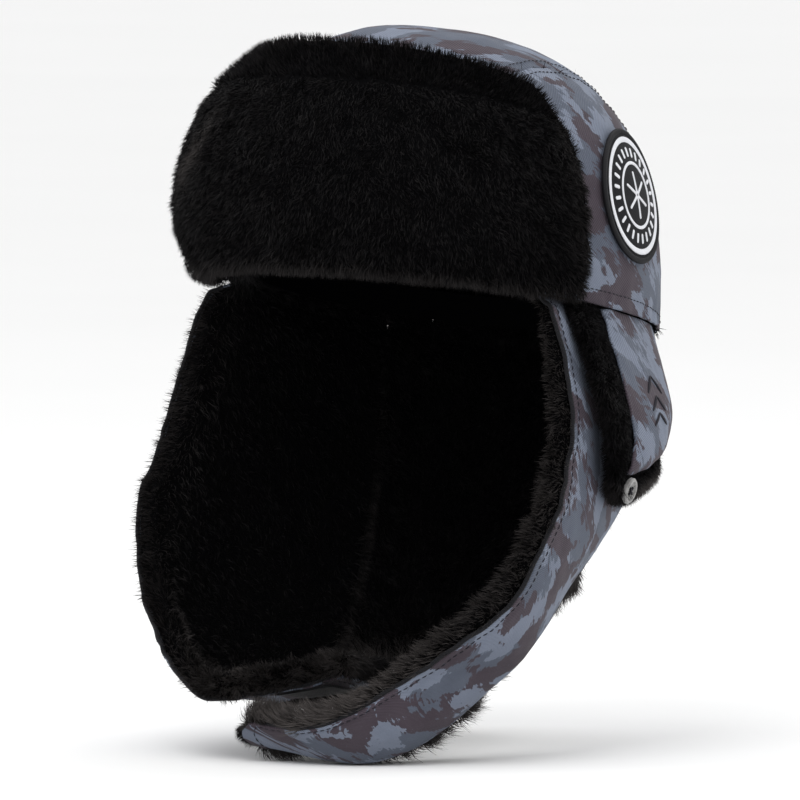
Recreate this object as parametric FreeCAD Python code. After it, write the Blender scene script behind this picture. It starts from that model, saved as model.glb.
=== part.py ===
import FreeCAD, Part
import math
import os

os.makedirs("parts", exist_ok=True)

# Frame: +Z up, the face opening looks along -Y and +X is the wearer's left. The origin is
# the centre of the head opening, on the crown's hem. Lengths are millimetres.

# Crown: a boxy dome on an elliptical hem that drops towards the back
HEM_HALF_WIDTH = 98.0
HEM_HALF_LENGTH = 118.0
CROWN_HEIGHT = 126.5
CROWN_SQUARENESS = 2.75
HEM_LEVEL = 1.0
HEM_SLOPE = 0.2034          # fall of the hem per mm towards the back
CROWN_LEAN = 0.05           # backward lean of the dome per mm of height
SEAM_HALF_SPACING = 62.0    # the two crown seams run front to back this far from the middle

# Layers
SKIN = 1.6                  # camouflage twill with its backing
LAYER_GAP = 0.4
PANEL_GAP = 0.8             # between two panels that are sewn edge to edge
CROWN_PILE = 11.0
FLAP_PILE = 13.0
SIDE_PILE = 6.9
SIDE_SKIN = 1.4
HEM_PILE_SHARE = 0.35       # the pile is squeezed to this share where it is sewn in

# Visor, turned up against the crown
VISOR_END_ANGLE = 73.0
VISOR_CLEARANCE = 3.0
VISOR_FRONT_TOP = 129.0
VISOR_END_TOP = 103.0
VISOR_END_DROP = 16.0       # further fall of the top edge at the rounded ends
VISOR_END_SHARE = 0.84      # where that fall begins, as a share of the way to an end
VISOR_HEM_GAP = 1.5
VISOR_FACE_DEPTHS = (14, 22.5, 24, 22, 18, 8)   # how far the fur stands out, brow to top edge

# Patch on the wearer's left of the crown
PATCH_RADIUS = 32.5
PATCH_BORDER = 2.6
PATCH_ANGLE = 100.0
PATCH_LEVEL = 53.0
PATCH_OUTER_RING = (25.4, 28.4)     # inner and outer radius
PATCH_INNER_RING = (14.9, 16.4)
PATCH_TICKS = 24
PATCH_TICK = (18.4, 5.0, 1.8)       # start radius, length and width
PATCH_STAR_HUB = 2.4
PATCH_STAR_ARM = (11.5, 1.7)        # length and width

# Tape that covers the seam inside the hem, and the label at the back
TAPE_CLEARANCE = 2.4
TAPE_THICKNESS = 1.0
TAPE_START = 1.0
TAPE_WIDTH = 14.0
LABEL_SPAN = (0.38, 0.62)
LABEL_RISE = (0.925, 0.962)
LABEL_THICKNESS = 0.6

# Button at the lower front corner of each side flap
BUTTON_RADIUS = 6.3
BUTTON_THICKNESS = 3.0
BUTTON_HOLE_SPACING = 2.5
BUTTON_HOLE_RADIUS = 0.8
BUTTON_WELL_DEPTH = 0.9
BUTTON_PLACE = (0.24, 0.94)

# Chevrons stitched on the wearer's left side flap
CHEVRON_LEVELS = (0.30, 0.36, 0.42)
CHEVRON_SPAN = (0.44, 0.61)
CHEVRON_RISE = 0.05
CHEVRON_HALF_WIDTH = 0.009
CHEVRON_GAP = 0.002

# Long ear flap, outer face of the twill on the wearer's left. Each row runs from the front
# edge to the rear edge; the rows go from the hem to the tip of the chin tongue.
LEFT_EAR_ROWS = [
    [(87, -52, 10), (90, -27, 5), (91, 2, -1), (86, 36, -8), (74, 68, -14.3)],
    [(99, -56, 0), (95, -28, -7), (93, 2, -13), (88, 37, -20), (76, 67, -26)],
    [(112, -61, -45), (107, -32, -45), (101, 2, -47), (91, 37, -50), (79, 62, -52)],
    [(115, -71, -71), (109, -40, -72), (102, -6, -74), (91, 28, -77), (78, 53, -80)],
    [(116.5, -85, -94), (112, -52, -95), (104, -20, -96), (93, 8, -97), (72, 36, -98)],
    [(104, -104, -132), (107, -76, -128), (101, -46, -124), (88, -16, -122), (66, 16, -122)],
    [(85, -121, -152), (95, -93, -153), (93, -66, -152), (83, -40, -146), (64, -10, -142)],
    [(68, -132, -166), (82, -112, -168), (88, -93, -170), (85, -76, -166), (79, -58, -158)],
    [(40, -145, -185), (52, -137, -190), (62, -124, -194), (68, -108, -193), (71, -92, -184)],
    [(15, -149, -193), (22, -146, -198), (30, -140, -204), (38, -131, -208), (45, -118, -206)],
    [(-16, -147, -191), (-20, -146, -195), (-21, -143, -199), (-19, -139, -202), (-14, -135, -204)],
]

# The wearer's right flap hangs lower at the back and its tongue passes inside the left one.
RIGHT_EAR_ROWS = [
    [(-87, -52, 10), (-90, -27, 5), (-91, 2, -1), (-86, 36, -8), (-74, 68, -14.3)],
    [(-99, -56, 0), (-95, -28, -7), (-93, 2, -13), (-88, 37, -20), (-76, 67, -26)],
    [(-112, -61, -45), (-107, -32, -45), (-101, 2, -47), (-91, 37, -50), (-79, 62, -52)],
    [(-115, -71, -71), (-109, -40, -73), (-103, -6, -77), (-93, 28, -83), (-80, 56, -90)],
    [(-116.5, -85, -94), (-112, -54, -98), (-106, -20, -104), (-97, 14, -115), (-81, 46, -130)],
    [(-104, -104, -132), (-108, -78, -134), (-106, -48, -140), (-97, -14, -152), (-80, 24, -170)],
    [(-85, -121, -152), (-95, -98, -156), (-97, -70, -162), (-90, -38, -172), (-72, -4, -184)],
    [(-68, -133, -168), (-78, -112, -173), (-83, -88, -178), (-80, -62, -183), (-68, -34, -188)],
    [(-42, -144, -181), (-50, -127, -181), (-56, -108, -182), (-57, -90, -185), (-52, -72, -188)],
    [(-8, -141, -177), (-10, -130, -177), (-11, -119, -178), (-11, -108, -180), (-10, -97, -182)],
    [(26, -132, -169), (29, -124, -170), (30, -115, -172), (28, -106, -174), (24, -98, -176)],
]

# Neck flap, outer face of the twill, from the right flap's rear edge to the left flap's
NECK_MIDDLE_ROWS = [
    [(-58, 88, -18.4), (-32, 105, -21.9), (0, 112, -23.3), (32, 105, -21.9), (58, 88, -18.4)],
    [(-60, 90, -31), (-33, 108, -34), (0, 114, -35), (33, 108, -34), (60, 90, -31)],
    [(-63, 85, -56), (-34, 103, -59), (0, 110, -60), (34, 103, -59), (63, 84, -56)],
    [(-66, 79, -91), (-36, 96, -91), (0, 101, -90), (33, 95, -88), (61, 77, -85)],
    [(-67, 70, -130), (-38, 86, -125), (-2, 90, -117), (30, 84, -110), (56, 63, -104)],
    [(-64, 52, -176), (-38, 67, -171), (-6, 72, -158), (26, 66, -144), (50, 43, -132)],
]

# Side flap, outer face, wearer's left. The first column and the last row are bare pile.
SIDE_ROWS = [
    [(95, -36, 6.8), (96.5, -10, 1.5), (95.5, 14, -3.4), (91.5, 36, -7.8), (85, 52, -11)],
    [(105.5, -42, -6), (104.5, -14, -13), (102, 12, -17), (96, 37, -21), (88, 53, -23)],
    [(120.5, -44, -42), (119.5, -21, -45), (115, 8, -46), (106, 36, -48), (95, 54, -48)],
    [(119.5, -38, -62), (119.5, -18, -65), (115.5, 9, -66), (105, 34, -65), (94, 50, -62)],
    [(118, -34, -73), (117.5, -21, -76), (112.5, 6, -74), (103, 31, -70), (94, 45, -64)],
    [(117, -31, -81), (115, -21, -86), (109.5, 4, -83), (101, 27, -78), (94, 40, -70)],
]
SIDE_CLOTH_START = 0.25     # the twill begins one column in and ends one row early
SIDE_CLOTH_END = 0.80


# Vectors and curves

def add(a, b, factor=1.0):
    return tuple(a[i] + factor * b[i] for i in range(3))


def minus(a, b):
    return tuple(a[i] - b[i] for i in range(3))


def cross(a, b):
    return (a[1] * b[2] - a[2] * b[1], a[2] * b[0] - a[0] * b[2], a[0] * b[1] - a[1] * b[0])


def unit(a):
    length = math.sqrt(sum(c * c for c in a)) or 1.0
    return tuple(c / length for c in a)


def blend(a, b, t):
    return tuple(a[i] * (1 - t) + b[i] * t for i in range(3))


def mirrored(p):
    return (-p[0], p[1], p[2])


def smooth(t):
    t = min(max(t, 0.0), 1.0)
    return t * t * (3 - 2 * t)


def through(points, t):
    """Smooth curve through evenly numbered points, t from 0 to 1, straight beyond its ends."""
    last = len(points) - 1
    place = t * last
    i = min(max(int(math.floor(place)), 0), last - 1)
    f = place - i
    p1, p2 = points[i], points[i + 1]
    p0 = points[i - 1] if i > 0 else add(p1, minus(p2, p1), -1.0)
    p3 = points[i + 2] if i + 2 <= last else add(p2, minus(p2, p1))
    if f < 0:
        return add(p1, minus(p2, p0), 0.5 * f)
    if f > 1:
        return add(p2, minus(p3, p1), 0.5 * (f - 1))
    return tuple(
        0.5 * (2 * p1[k] + (p2[k] - p0[k]) * f + (2 * p0[k] - 5 * p1[k] + 4 * p2[k] - p3[k]) * f * f
               + (3 * p1[k] - p0[k] - 3 * p2[k] + p3[k]) * f ** 3)
        for k in range(3))


def table_surface(rows, outward):
    """Point function (u along a row, v down the rows, offset along the outward normal)."""
    def base(u, v):
        return through([through(row, u) for row in rows], v)

    def point(u, v, offset):
        step = 0.004
        along = minus(base(u + step, v), base(u - step, v))
        down = minus(base(u, v + step), base(u, v - step))
        normal = unit(cross(along, down))
        return add(base(u, v), normal, outward * offset)
    return point


# Solids

def grid_surface(point, us, vs, offset):
    grid = [[FreeCAD.Vector(*point(u, v, offset(u, v))) for v in vs] for u in us]
    surface = Part.BSplineSurface()
    surface.interpolate(grid)
    return surface


def sheet_solid(point, u_range, v_range, outer, inner, steps=(16, 16)):
    """Closed solid between two offsets of a surface. Offsets are numbers or functions of (u, v)."""
    outer_offset = outer if callable(outer) else (lambda u, v: outer)
    inner_offset = inner if callable(inner) else (lambda u, v: inner)
    us = [u_range[0] + (u_range[1] - u_range[0]) * i / steps[0] for i in range(steps[0] + 1)]
    vs = [v_range[0] + (v_range[1] - v_range[0]) * i / steps[1] for i in range(steps[1] + 1)]
    top = grid_surface(point, us, vs, outer_offset)
    bottom = grid_surface(point, us, vs, inner_offset)
    faces = [top.toShape(), bottom.toShape()]
    sides = [
        (top.vIso(top.bounds()[2]), bottom.vIso(bottom.bounds()[2])),
        (top.vIso(top.bounds()[3]), bottom.vIso(bottom.bounds()[3])),
        (top.uIso(top.bounds()[0]), bottom.uIso(bottom.bounds()[0])),
        (top.uIso(top.bounds()[1]), bottom.uIso(bottom.bounds()[1])),
    ]
    for first, second in sides:
        faces.append(Part.makeRuledSurface(first.toShape(), second.toShape()))
    shell = Part.Shell(Part.makeShell(faces).Faces)
    shell.sewShape()
    solid = Part.Solid(Part.Shell(shell.Faces))
    if solid.Volume < 0:
        solid.reverse()
    return solid


def save(name, shape):
    solids = shape.Solids
    volume = sum(s.Volume for s in solids)
    print(f"{name:28s} solids {len(solids):2d} valid {shape.isValid()} volume {volume:10.1f}")
    shape.exportStep(f"parts/{name}.step")


# Crown

def dome_sheared(p):
    x, y, z = p
    y_leaning = y + CROWN_LEAN * z
    return (x, y_leaning, z + HEM_LEVEL - HEM_SLOPE * y)


def on_dome(p, offset):
    """Push a point out from the hem's centre onto the dome, then along its normal."""
    a, b, c, power = HEM_HALF_WIDTH, HEM_HALF_LENGTH, CROWN_HEIGHT, CROWN_SQUARENESS
    flat = (p[0] / a) ** 2 + (p[1] / b) ** 2
    size = (flat ** (power / 2) + (max(p[2], 0.0) / c) ** power) ** (-1 / power)
    q = tuple(size * k for k in p)
    flat = (q[0] / a) ** 2 + (q[1] / b) ** 2
    ring = flat ** (power / 2 - 1) if flat > 1e-9 else 0.0
    normal = unit((ring * q[0] / a ** 2, ring * q[1] / b ** 2, (max(q[2], 0.0) / c) ** (power - 1) / c))
    return dome_sheared(add(q, normal, offset))


def seam_point(x, t):
    """A point on the dome's section at x, from the front hem (t = 0) over the top to the back."""
    a, b, c, power = HEM_HALF_WIDTH, HEM_HALF_LENGTH, CROWN_HEIGHT, CROWN_SQUARENESS
    y = -b * math.sqrt(1 - (x / a) ** 2) * math.cos(math.pi * t)
    flat = (x / a) ** 2 + (y / b) ** 2
    z = c * max(0.0, 1 - flat ** (power / 2)) ** (1 / power)
    return (x, y, z)


def center_panel(u, v, offset):
    half = SEAM_HALF_SPACING - PANEL_GAP / 2
    return on_dome(blend(seam_point(-half, v), seam_point(half, v), u), offset)


def side_panel(side):
    half = SEAM_HALF_SPACING + PANEL_GAP / 2
    first = math.asin(half / HEM_HALF_WIDTH)

    def point(u, v, offset):
        angle = first + (math.pi - 2 * first) * u
        hem = (HEM_HALF_WIDTH * math.sin(angle), -HEM_HALF_LENGTH * math.cos(angle), 0.0)
        p = blend(seam_point(half, u), hem, v)
        return on_dome((side * p[0], p[1], p[2]), offset)
    return point


def hem_band(turn, share, offset):
    """Upright band on the hem ellipse; turn from 0 to 1 starts and ends at the back."""
    angle = math.pi + 2 * math.pi * turn
    height = TAPE_START + TAPE_WIDTH * share
    x = (HEM_HALF_WIDTH + offset) * math.sin(angle)
    y = -(HEM_HALF_LENGTH + offset) * math.cos(angle)
    return (x, y, height + HEM_LEVEL - HEM_SLOPE * y)


CORNER = 0.012
crown_pieces = {
    "center": (center_panel, (0.0, 1.0)),
    "left": (side_panel(1), (CORNER, 1 - CORNER)),
    "right": (side_panel(-1), (CORNER, 1 - CORNER)),
}


def make_crown():
    for name, (point, span) in crown_pieces.items():
        v_span = (0.0, 1.0)
        panel = sheet_solid(point, span, v_span, 0.0, -SKIN, (20, 20))
        label = "crown_center_panel" if name == "center" else f"crown_side_panel_{name}"
        save(label, panel)
        pile_out = -SKIN - LAYER_GAP
        lining = sheet_solid(point, span, v_span, pile_out, pile_out - CROWN_PILE, (20, 20))
        save(f"crown_lining_{name}", lining)
    inside = -(SKIN + LAYER_GAP + CROWN_PILE)
    tape_out = inside - TAPE_CLEARANCE
    tape = sheet_solid(hem_band, (0.005, 0.995), (0, 1), tape_out, tape_out - TAPE_THICKNESS, (48, 2))
    save("hem_tape", tape)


# Patch and label

def patch_frame():
    """Origin, outward normal, horizontal and upward tangents at the middle of the patch."""
    angle = math.radians(PATCH_ANGLE)
    hem = (HEM_HALF_WIDTH * math.sin(angle), -HEM_HALF_LENGTH * math.cos(angle), 0.0)
    rise = PATCH_LEVEL - HEM_LEVEL + HEM_SLOPE * hem[1]
    share = (1 - (rise / CROWN_HEIGHT) ** CROWN_SQUARENESS) ** (1 / CROWN_SQUARENESS)
    p = (share * hem[0], share * hem[1], rise)
    origin = on_dome(p, 0.0)
    normal = unit(minus(on_dome(p, 1.0), origin))
    across = unit(cross((0, 0, 1), normal))
    return origin, normal, across, cross(normal, across)


def placed(shape, frame):
    """Turn a shape drawn in XY, thick along Z, into a frame of (origin, normal, across, up)."""
    origin, normal, across, up = frame
    matrix = FreeCAD.Matrix(
        across[0], up[0], normal[0], origin[0],
        across[1], up[1], normal[1], origin[1],
        across[2], up[2], normal[2], origin[2],
        0, 0, 0, 1)
    copy = shape.copy()
    copy.transformShape(matrix)
    return copy


def disc(radius, bottom=-20.0, height=40.0):
    return Part.makeCylinder(radius, height, FreeCAD.Vector(0, 0, bottom))


def bar(length, width, distance=0.0, turn=0.0):
    shape = Part.makeBox(length, width, 40.0, FreeCAD.Vector(distance, -width / 2, -20))
    shape.rotate(FreeCAD.Vector(0, 0, 0), FreeCAD.Vector(0, 0, 1), turn)
    return shape


def patch_layer(shape, low, high):
    """The part of a layer over the crown that lies inside a shape drawn on the patch."""
    layer = sheet_solid(side_panel(1), (0.15, 0.95), (0.1, 0.99), high, low, (24, 24))
    return layer.common(placed(shape, patch_frame()))


def make_patch():
    face_radius = PATCH_RADIUS - PATCH_BORDER
    save("patch_base", patch_layer(disc(face_radius - 0.1), 0.3, 1.8))
    save("patch_border", patch_layer(disc(PATCH_RADIUS).cut(disc(face_radius)), 0.3, 2.7))
    for name, (inner, outer) in (("outer", PATCH_OUTER_RING), ("inner", PATCH_INNER_RING)):
        save(f"patch_{name}_ring", patch_layer(disc(outer).cut(disc(inner)), 1.9, 2.5))
    start, length, width = PATCH_TICK
    ticks = []
    for i in range(PATCH_TICKS):
        ticks.append(patch_layer(bar(length, width, start, 360.0 * i / PATCH_TICKS), 1.9, 2.4))
    save("patch_ticks", Part.makeCompound(ticks))
    star = disc(PATCH_STAR_HUB)
    for i in range(6):
        star = star.fuse(bar(*PATCH_STAR_ARM, 0.0, 30 + 60.0 * i))
    save("patch_motif", patch_layer(star, 1.9, 2.5))


def make_label():
    back = -(SKIN + LAYER_GAP + CROWN_PILE) - LAYER_GAP
    label = sheet_solid(center_panel, LABEL_SPAN, LABEL_RISE, back, back - LABEL_THICKNESS, (8, 8))
    save("inner_label", label)


# Visor

def visor_surface(u, v, offset):
    """u from the right end to the left end, v from the brow up, offset out from the crown side."""
    degrees = VISOR_END_ANGLE * (2 * u - 1)
    angle = math.radians(degrees)
    x = HEM_HALF_WIDTH * math.sin(angle)
    y = -HEM_HALF_LENGTH * math.cos(angle)
    bottom = HEM_LEVEL - HEM_SLOPE * y + VISOR_HEM_GAP
    share = abs(degrees) / VISOR_END_ANGLE
    top = VISOR_FRONT_TOP - (VISOR_FRONT_TOP - VISOR_END_TOP) * share ** 2.2
    top -= VISOR_END_DROP * smooth((share - VISOR_END_SHARE) / (1 - VISOR_END_SHARE)) ** 2
    z = bottom + (top - bottom) * v
    rise = min((z - bottom) / CROWN_HEIGHT, 0.98)
    crown_share = (1 - rise ** CROWN_SQUARENESS) ** (1 / CROWN_SQUARENESS)
    draw_in = 1 - 0.9 * (1 - crown_share)
    reach = VISOR_CLEARANCE + offset
    return ((HEM_HALF_WIDTH * draw_in + reach) * math.sin(angle),
            -(HEM_HALF_LENGTH * draw_in + reach) * math.cos(angle), z)


def visor_face(u, v):
    """How far the fur stands out: rounded along the bottom, the top and both ends."""
    height = through([(depth, 0, 0) for depth in VISOR_FACE_DEPTHS], v)[0]
    end = 1 - 0.4 * smooth((abs(2 * u - 1) - 0.62) / 0.38)
    return height * end


def make_visor():
    save("visor_backing", sheet_solid(visor_surface, (0, 1), (0, 1), SKIN, 0.0, (36, 16)))
    base = SKIN + LAYER_GAP
    save("visor_fur", sheet_solid(visor_surface, (0, 1), (0, 1), visor_face, base, (36, 20)))


# Ear flaps and neck flap

def pile_depth(full, fade):
    """Pile thickness that is squeezed at the hem and full from the share fade downwards."""
    def depth(v):
        return full * (HEM_PILE_SHARE + (1 - HEM_PILE_SHARE) * smooth(v / fade))
    return depth


def left_pile(v):
    thin_tongue = 1 - 0.35 * smooth((v - 0.78) / 0.15)
    return pile_depth(FLAP_PILE, 0.2)(v) * thin_tongue


right_pile = pile_depth(FLAP_PILE, 0.2)


left_ear = table_surface(LEFT_EAR_ROWS, -1)
right_ear = table_surface(RIGHT_EAR_ROWS, 1)


def front_edge(rows, side):
    """Strip along the front edge: w millimetres ahead of the twill, v down the edge."""
    surface = table_surface(rows, -side)

    def point(w, v, offset):
        here = surface(0.0, v, offset)
        ahead = unit(minus(surface(-0.02, v, offset), here))
        return add(here, ahead, w)
    return point


def make_ear_flap(side_name, rows, surface, side, pile):
    pile_out = -SKIN - LAYER_GAP
    save(f"ear_flap_outer_{side_name}",
         sheet_solid(surface, (0, 1), (0, 1), 0.0, -SKIN, (16, 50)))

    def inside(u, v):
        return pile_out - pile(v)

    save(f"ear_flap_lining_{side_name}",
         sheet_solid(surface, (0, 0.985), (0, 1), pile_out, inside, (16, 50)))
    save(f"ear_flap_piping_{side_name}",
         sheet_solid(front_edge(rows, side), (0.4, 2.8), (0.02, 0.99), 0.2, -2.2, (2, 50)))


def neck_rows():
    rows = []
    for i, middle in enumerate(NECK_MIDDLE_ROWS):
        rows.append([RIGHT_EAR_ROWS[i][-1]] + middle + [LEFT_EAR_ROWS[i][-1]])
    return rows


neck = table_surface(neck_rows(), 1)


def make_neck_flap():
    pile_out = -SKIN - LAYER_GAP
    depth = pile_depth(FLAP_PILE, 0.3)

    def inside(u, v):
        return pile_out - depth(v)

    save("neck_flap_outer", sheet_solid(neck, (0.015, 0.985), (0, 1), 0.0, -SKIN, (30, 24)))
    save("neck_flap_lining", sheet_solid(neck, (0.035, 0.965), (0, 1), pile_out, inside, (30, 24)))


def make_chin_tapes():
    def hook_out(u, v):
        return -SKIN - LAYER_GAP - left_pile(v) - 0.5

    def hook_in(u, v):
        return hook_out(u, v) - 1.2

    save("chin_hook_tape", sheet_solid(left_ear, (0.3, 0.7), (0.93, 0.975), hook_out, hook_in, (3, 3)))
    save("chin_loop_tape", sheet_solid(right_ear, (0.2, 0.8), (0.9, 0.97), 1.4, 0.2, (8, 8)))


# Side flaps with their buttons

side_left = table_surface(SIDE_ROWS, -1)


def side_surface(side):
    def point(u, v, offset):
        p = side_left(u, v, offset)
        return p if side > 0 else mirrored(p)
    return point


def side_depth(u, v):
    squeezed = HEM_PILE_SHARE + (1 - HEM_PILE_SHARE) * smooth(v / 0.35)
    front_edge_share = 0.6 + 0.4 * smooth(u / 0.3)
    return SIDE_PILE * squeezed * front_edge_share * (1 - 0.45 * u)


def button_frame(side):
    surface = side_surface(side)
    u, v = BUTTON_PLACE
    origin = surface(u, v, 0.3)
    ahead = surface(u - 0.02, v, 0.3)
    below = surface(u, v + 0.02, 0.3)
    normal = unit(cross(minus(ahead, origin), minus(below, origin)))
    if normal[0] * side < 0:
        normal = tuple(-c for c in normal)
    across = unit(cross((0, 0, 1), normal))
    return origin, normal, across, cross(normal, across)


def hole_places():
    half = BUTTON_HOLE_SPACING / 2
    return [(half, half), (-half, half), (-half, -half), (half, -half)]


def make_button(side, side_name):
    r, t = BUTTON_RADIUS, BUTTON_THICKNESS
    well = t - BUTTON_WELL_DEPTH
    profile = [(0, 0), (r - 1.0, 0), (r, 0.9), (r, t - 0.7)]
    profile += [(r - 0.7, t), (r - 1.5, t), (r - 2.2, well), (0, well)]
    wire = Part.makePolygon([FreeCAD.Vector(x, 0, z) for x, z in profile + profile[:1]])
    body = Part.Face(wire).revolve(FreeCAD.Vector(0, 0, 0), FreeCAD.Vector(0, 0, 1), 360)
    body = Part.Solid(body) if body.ShapeType != "Solid" else body
    for x, y in hole_places():
        spot = FreeCAD.Vector(x, y, -1)
        body = body.cut(Part.makeCylinder(BUTTON_HOLE_RADIUS, t + 2, spot))
    over = well + 0.05
    length = BUTTON_HOLE_SPACING * math.sqrt(2) + 1.0
    stitch = None
    for turn in (45, 135):
        shape = Part.makeBox(length, 0.8, 0.7, FreeCAD.Vector(-length / 2, -0.4, over))
        shape.rotate(FreeCAD.Vector(0, 0, 0), FreeCAD.Vector(0, 0, 1), turn)
        stitch = shape if stitch is None else stitch.fuse(shape)
    for x, y in hole_places():
        stitch = stitch.fuse(Part.makeCylinder(0.45, over + 1.3, FreeCAD.Vector(x, y, -1.2)))
    save(f"button_{side_name}", placed(body, button_frame(side)))
    save(f"button_thread_{side_name}", placed(stitch, button_frame(side)))


def make_side_flap(side, side_name):
    surface = side_surface(side)
    pile_out = -SIDE_SKIN - LAYER_GAP

    def inside(u, v):
        return pile_out - side_depth(u, v)

    cloth_u, cloth_v = (SIDE_CLOTH_START, 1), (0, SIDE_CLOTH_END)
    save(f"side_flap_outer_{side_name}",
         sheet_solid(surface, cloth_u, cloth_v, 0.0, -SIDE_SKIN, (20, 20)))
    save(f"side_flap_lining_{side_name}",
         sheet_solid(surface, (0, 1), (0, 1), pile_out, inside, (24, 24)))
    make_button(side, side_name)


def emblem_bar(start, end, half_width):
    """Raised stitched bar on the side flap between two (u, v) places."""
    def point(a, b, offset):
        u = start[0] + (end[0] - start[0]) * a
        v = start[1] + (end[1] - start[1]) * a + b
        return side_left(u, v, offset)
    return sheet_solid(point, (0, 1), (-half_width, half_width), 0.9, 0.2, (4, 2))


def make_emblem():
    low_u, high_u = CHEVRON_SPAN
    middle = (low_u + high_u) / 2
    bars = []
    for v in CHEVRON_LEVELS:
        tip = v + CHEVRON_RISE
        bars.append(emblem_bar((low_u, tip), (middle - CHEVRON_GAP, v), CHEVRON_HALF_WIDTH))
        bars.append(emblem_bar((middle + CHEVRON_GAP, v), (high_u, tip), CHEVRON_HALF_WIDTH))
    save("side_flap_emblem", Part.makeCompound(bars))


make_crown()
make_patch()
make_label()
make_visor()
make_ear_flap("left", LEFT_EAR_ROWS, left_ear, 1, left_pile)
make_ear_flap("right", RIGHT_EAR_ROWS, right_ear, -1, right_pile)
make_neck_flap()
make_chin_tapes()
for side_sign, name_of_side in ((1, "left"), (-1, "right")):
    make_side_flap(side_sign, name_of_side)
make_emblem()
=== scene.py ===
import itertools
import math

import bpy
import numpy as np
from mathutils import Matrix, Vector


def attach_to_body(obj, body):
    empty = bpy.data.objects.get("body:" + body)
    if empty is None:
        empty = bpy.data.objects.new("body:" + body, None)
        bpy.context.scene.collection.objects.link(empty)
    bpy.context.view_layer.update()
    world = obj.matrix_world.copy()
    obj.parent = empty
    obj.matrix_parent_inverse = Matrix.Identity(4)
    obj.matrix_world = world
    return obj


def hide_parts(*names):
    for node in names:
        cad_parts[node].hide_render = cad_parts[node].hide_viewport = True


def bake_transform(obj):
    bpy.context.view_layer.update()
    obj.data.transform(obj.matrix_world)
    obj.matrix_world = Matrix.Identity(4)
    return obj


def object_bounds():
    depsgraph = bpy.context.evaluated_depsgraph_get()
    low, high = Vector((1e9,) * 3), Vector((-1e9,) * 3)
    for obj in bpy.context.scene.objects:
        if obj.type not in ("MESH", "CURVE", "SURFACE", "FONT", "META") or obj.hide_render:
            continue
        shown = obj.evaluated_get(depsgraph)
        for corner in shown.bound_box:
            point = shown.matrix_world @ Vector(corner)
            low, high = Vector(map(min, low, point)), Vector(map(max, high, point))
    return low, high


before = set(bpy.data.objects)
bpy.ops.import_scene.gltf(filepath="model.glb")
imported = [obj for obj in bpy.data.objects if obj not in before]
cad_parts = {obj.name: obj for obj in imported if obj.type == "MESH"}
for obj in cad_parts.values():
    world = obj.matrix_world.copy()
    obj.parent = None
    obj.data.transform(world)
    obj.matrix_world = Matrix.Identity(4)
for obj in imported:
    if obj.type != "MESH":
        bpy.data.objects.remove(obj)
cad_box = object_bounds()

# The shapes are worked out in millimetres and become metres where a mesh is made. The cloth
# surfaces are those of the CAD model: a point at (u, v) and an offset along the outward normal.
MM = 0.001

# Crown
HEM_HALF_WIDTH = 98.0
HEM_HALF_LENGTH = 118.0
CROWN_HEIGHT = 126.5
CROWN_SQUARENESS = 2.75
HEM_LEVEL = 1.0
HEM_SLOPE = 0.2034
CROWN_LEAN = 0.05
SEAM_HALF_SPACING = 62.0
PANEL_GAP = 0.8

# Layers
SKIN = 1.6
SIDE_SKIN = 1.4
LAYER_GAP = 0.4
CROWN_PILE = 11.0
FLAP_PILE = 13.0
SIDE_PILE = 6.9
HEM_PILE_SHARE = 0.35
HAIR_ABOVE_BASE = 3.0       # the solid base of the pile stays this far inside its CAD solid

# Visor
VISOR_END_ANGLE = 73.0
VISOR_CLEARANCE = 3.0
VISOR_FRONT_TOP = 129.0
VISOR_END_TOP = 103.0
VISOR_END_DROP = 16.0       # further fall of the top edge at the rounded ends
VISOR_END_SHARE = 0.84      # where that fall begins, as a share of the way to an end
VISOR_HEM_GAP = 1.5
VISOR_FACE_DEPTHS = (14, 22.5, 24, 22, 18, 8.0)     # of the fur, from the brow to the top edge

# Patch
PATCH_RADIUS = 32.5
PATCH_BORDER = 2.6
PATCH_ANGLE = 100.0
PATCH_LEVEL = 53.0

# Rows from the hem to the chin, each from the flap's front edge to its rear edge
LEFT_EAR_ROWS = [
    [(87, -52, 10), (90, -27, 5), (91, 2, -1), (86, 36, -8), (74, 68, -14.3)],
    [(99, -56, 0), (95, -28, -7), (93, 2, -13), (88, 37, -20), (76, 67, -26)],
    [(112, -61, -45), (107, -32, -45), (101, 2, -47), (91, 37, -50), (79, 62, -52)],
    [(115, -71, -71), (109, -40, -72), (102, -6, -74), (91, 28, -77), (78, 53, -80)],
    [(116.5, -85, -94), (112, -52, -95), (104, -20, -96), (93, 8, -97), (72, 36, -98)],
    [(104, -104, -132), (107, -76, -128), (101, -46, -124), (88, -16, -122), (66, 16, -122)],
    [(85, -121, -152), (95, -93, -153), (93, -66, -152), (83, -40, -146), (64, -10, -142)],
    [(68, -132, -166), (82, -112, -168), (88, -93, -170), (85, -76, -166), (79, -58, -158)],
    [(40, -145, -185), (52, -137, -190), (62, -124, -194), (68, -108, -193), (71, -92, -184)],
    [(15, -149, -193), (22, -146, -198), (30, -140, -204), (38, -131, -208), (45, -118, -206)],
    [(-16, -147, -191), (-20, -146, -195), (-21, -143, -199), (-19, -139, -202), (-14, -135, -204)],
]
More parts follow.
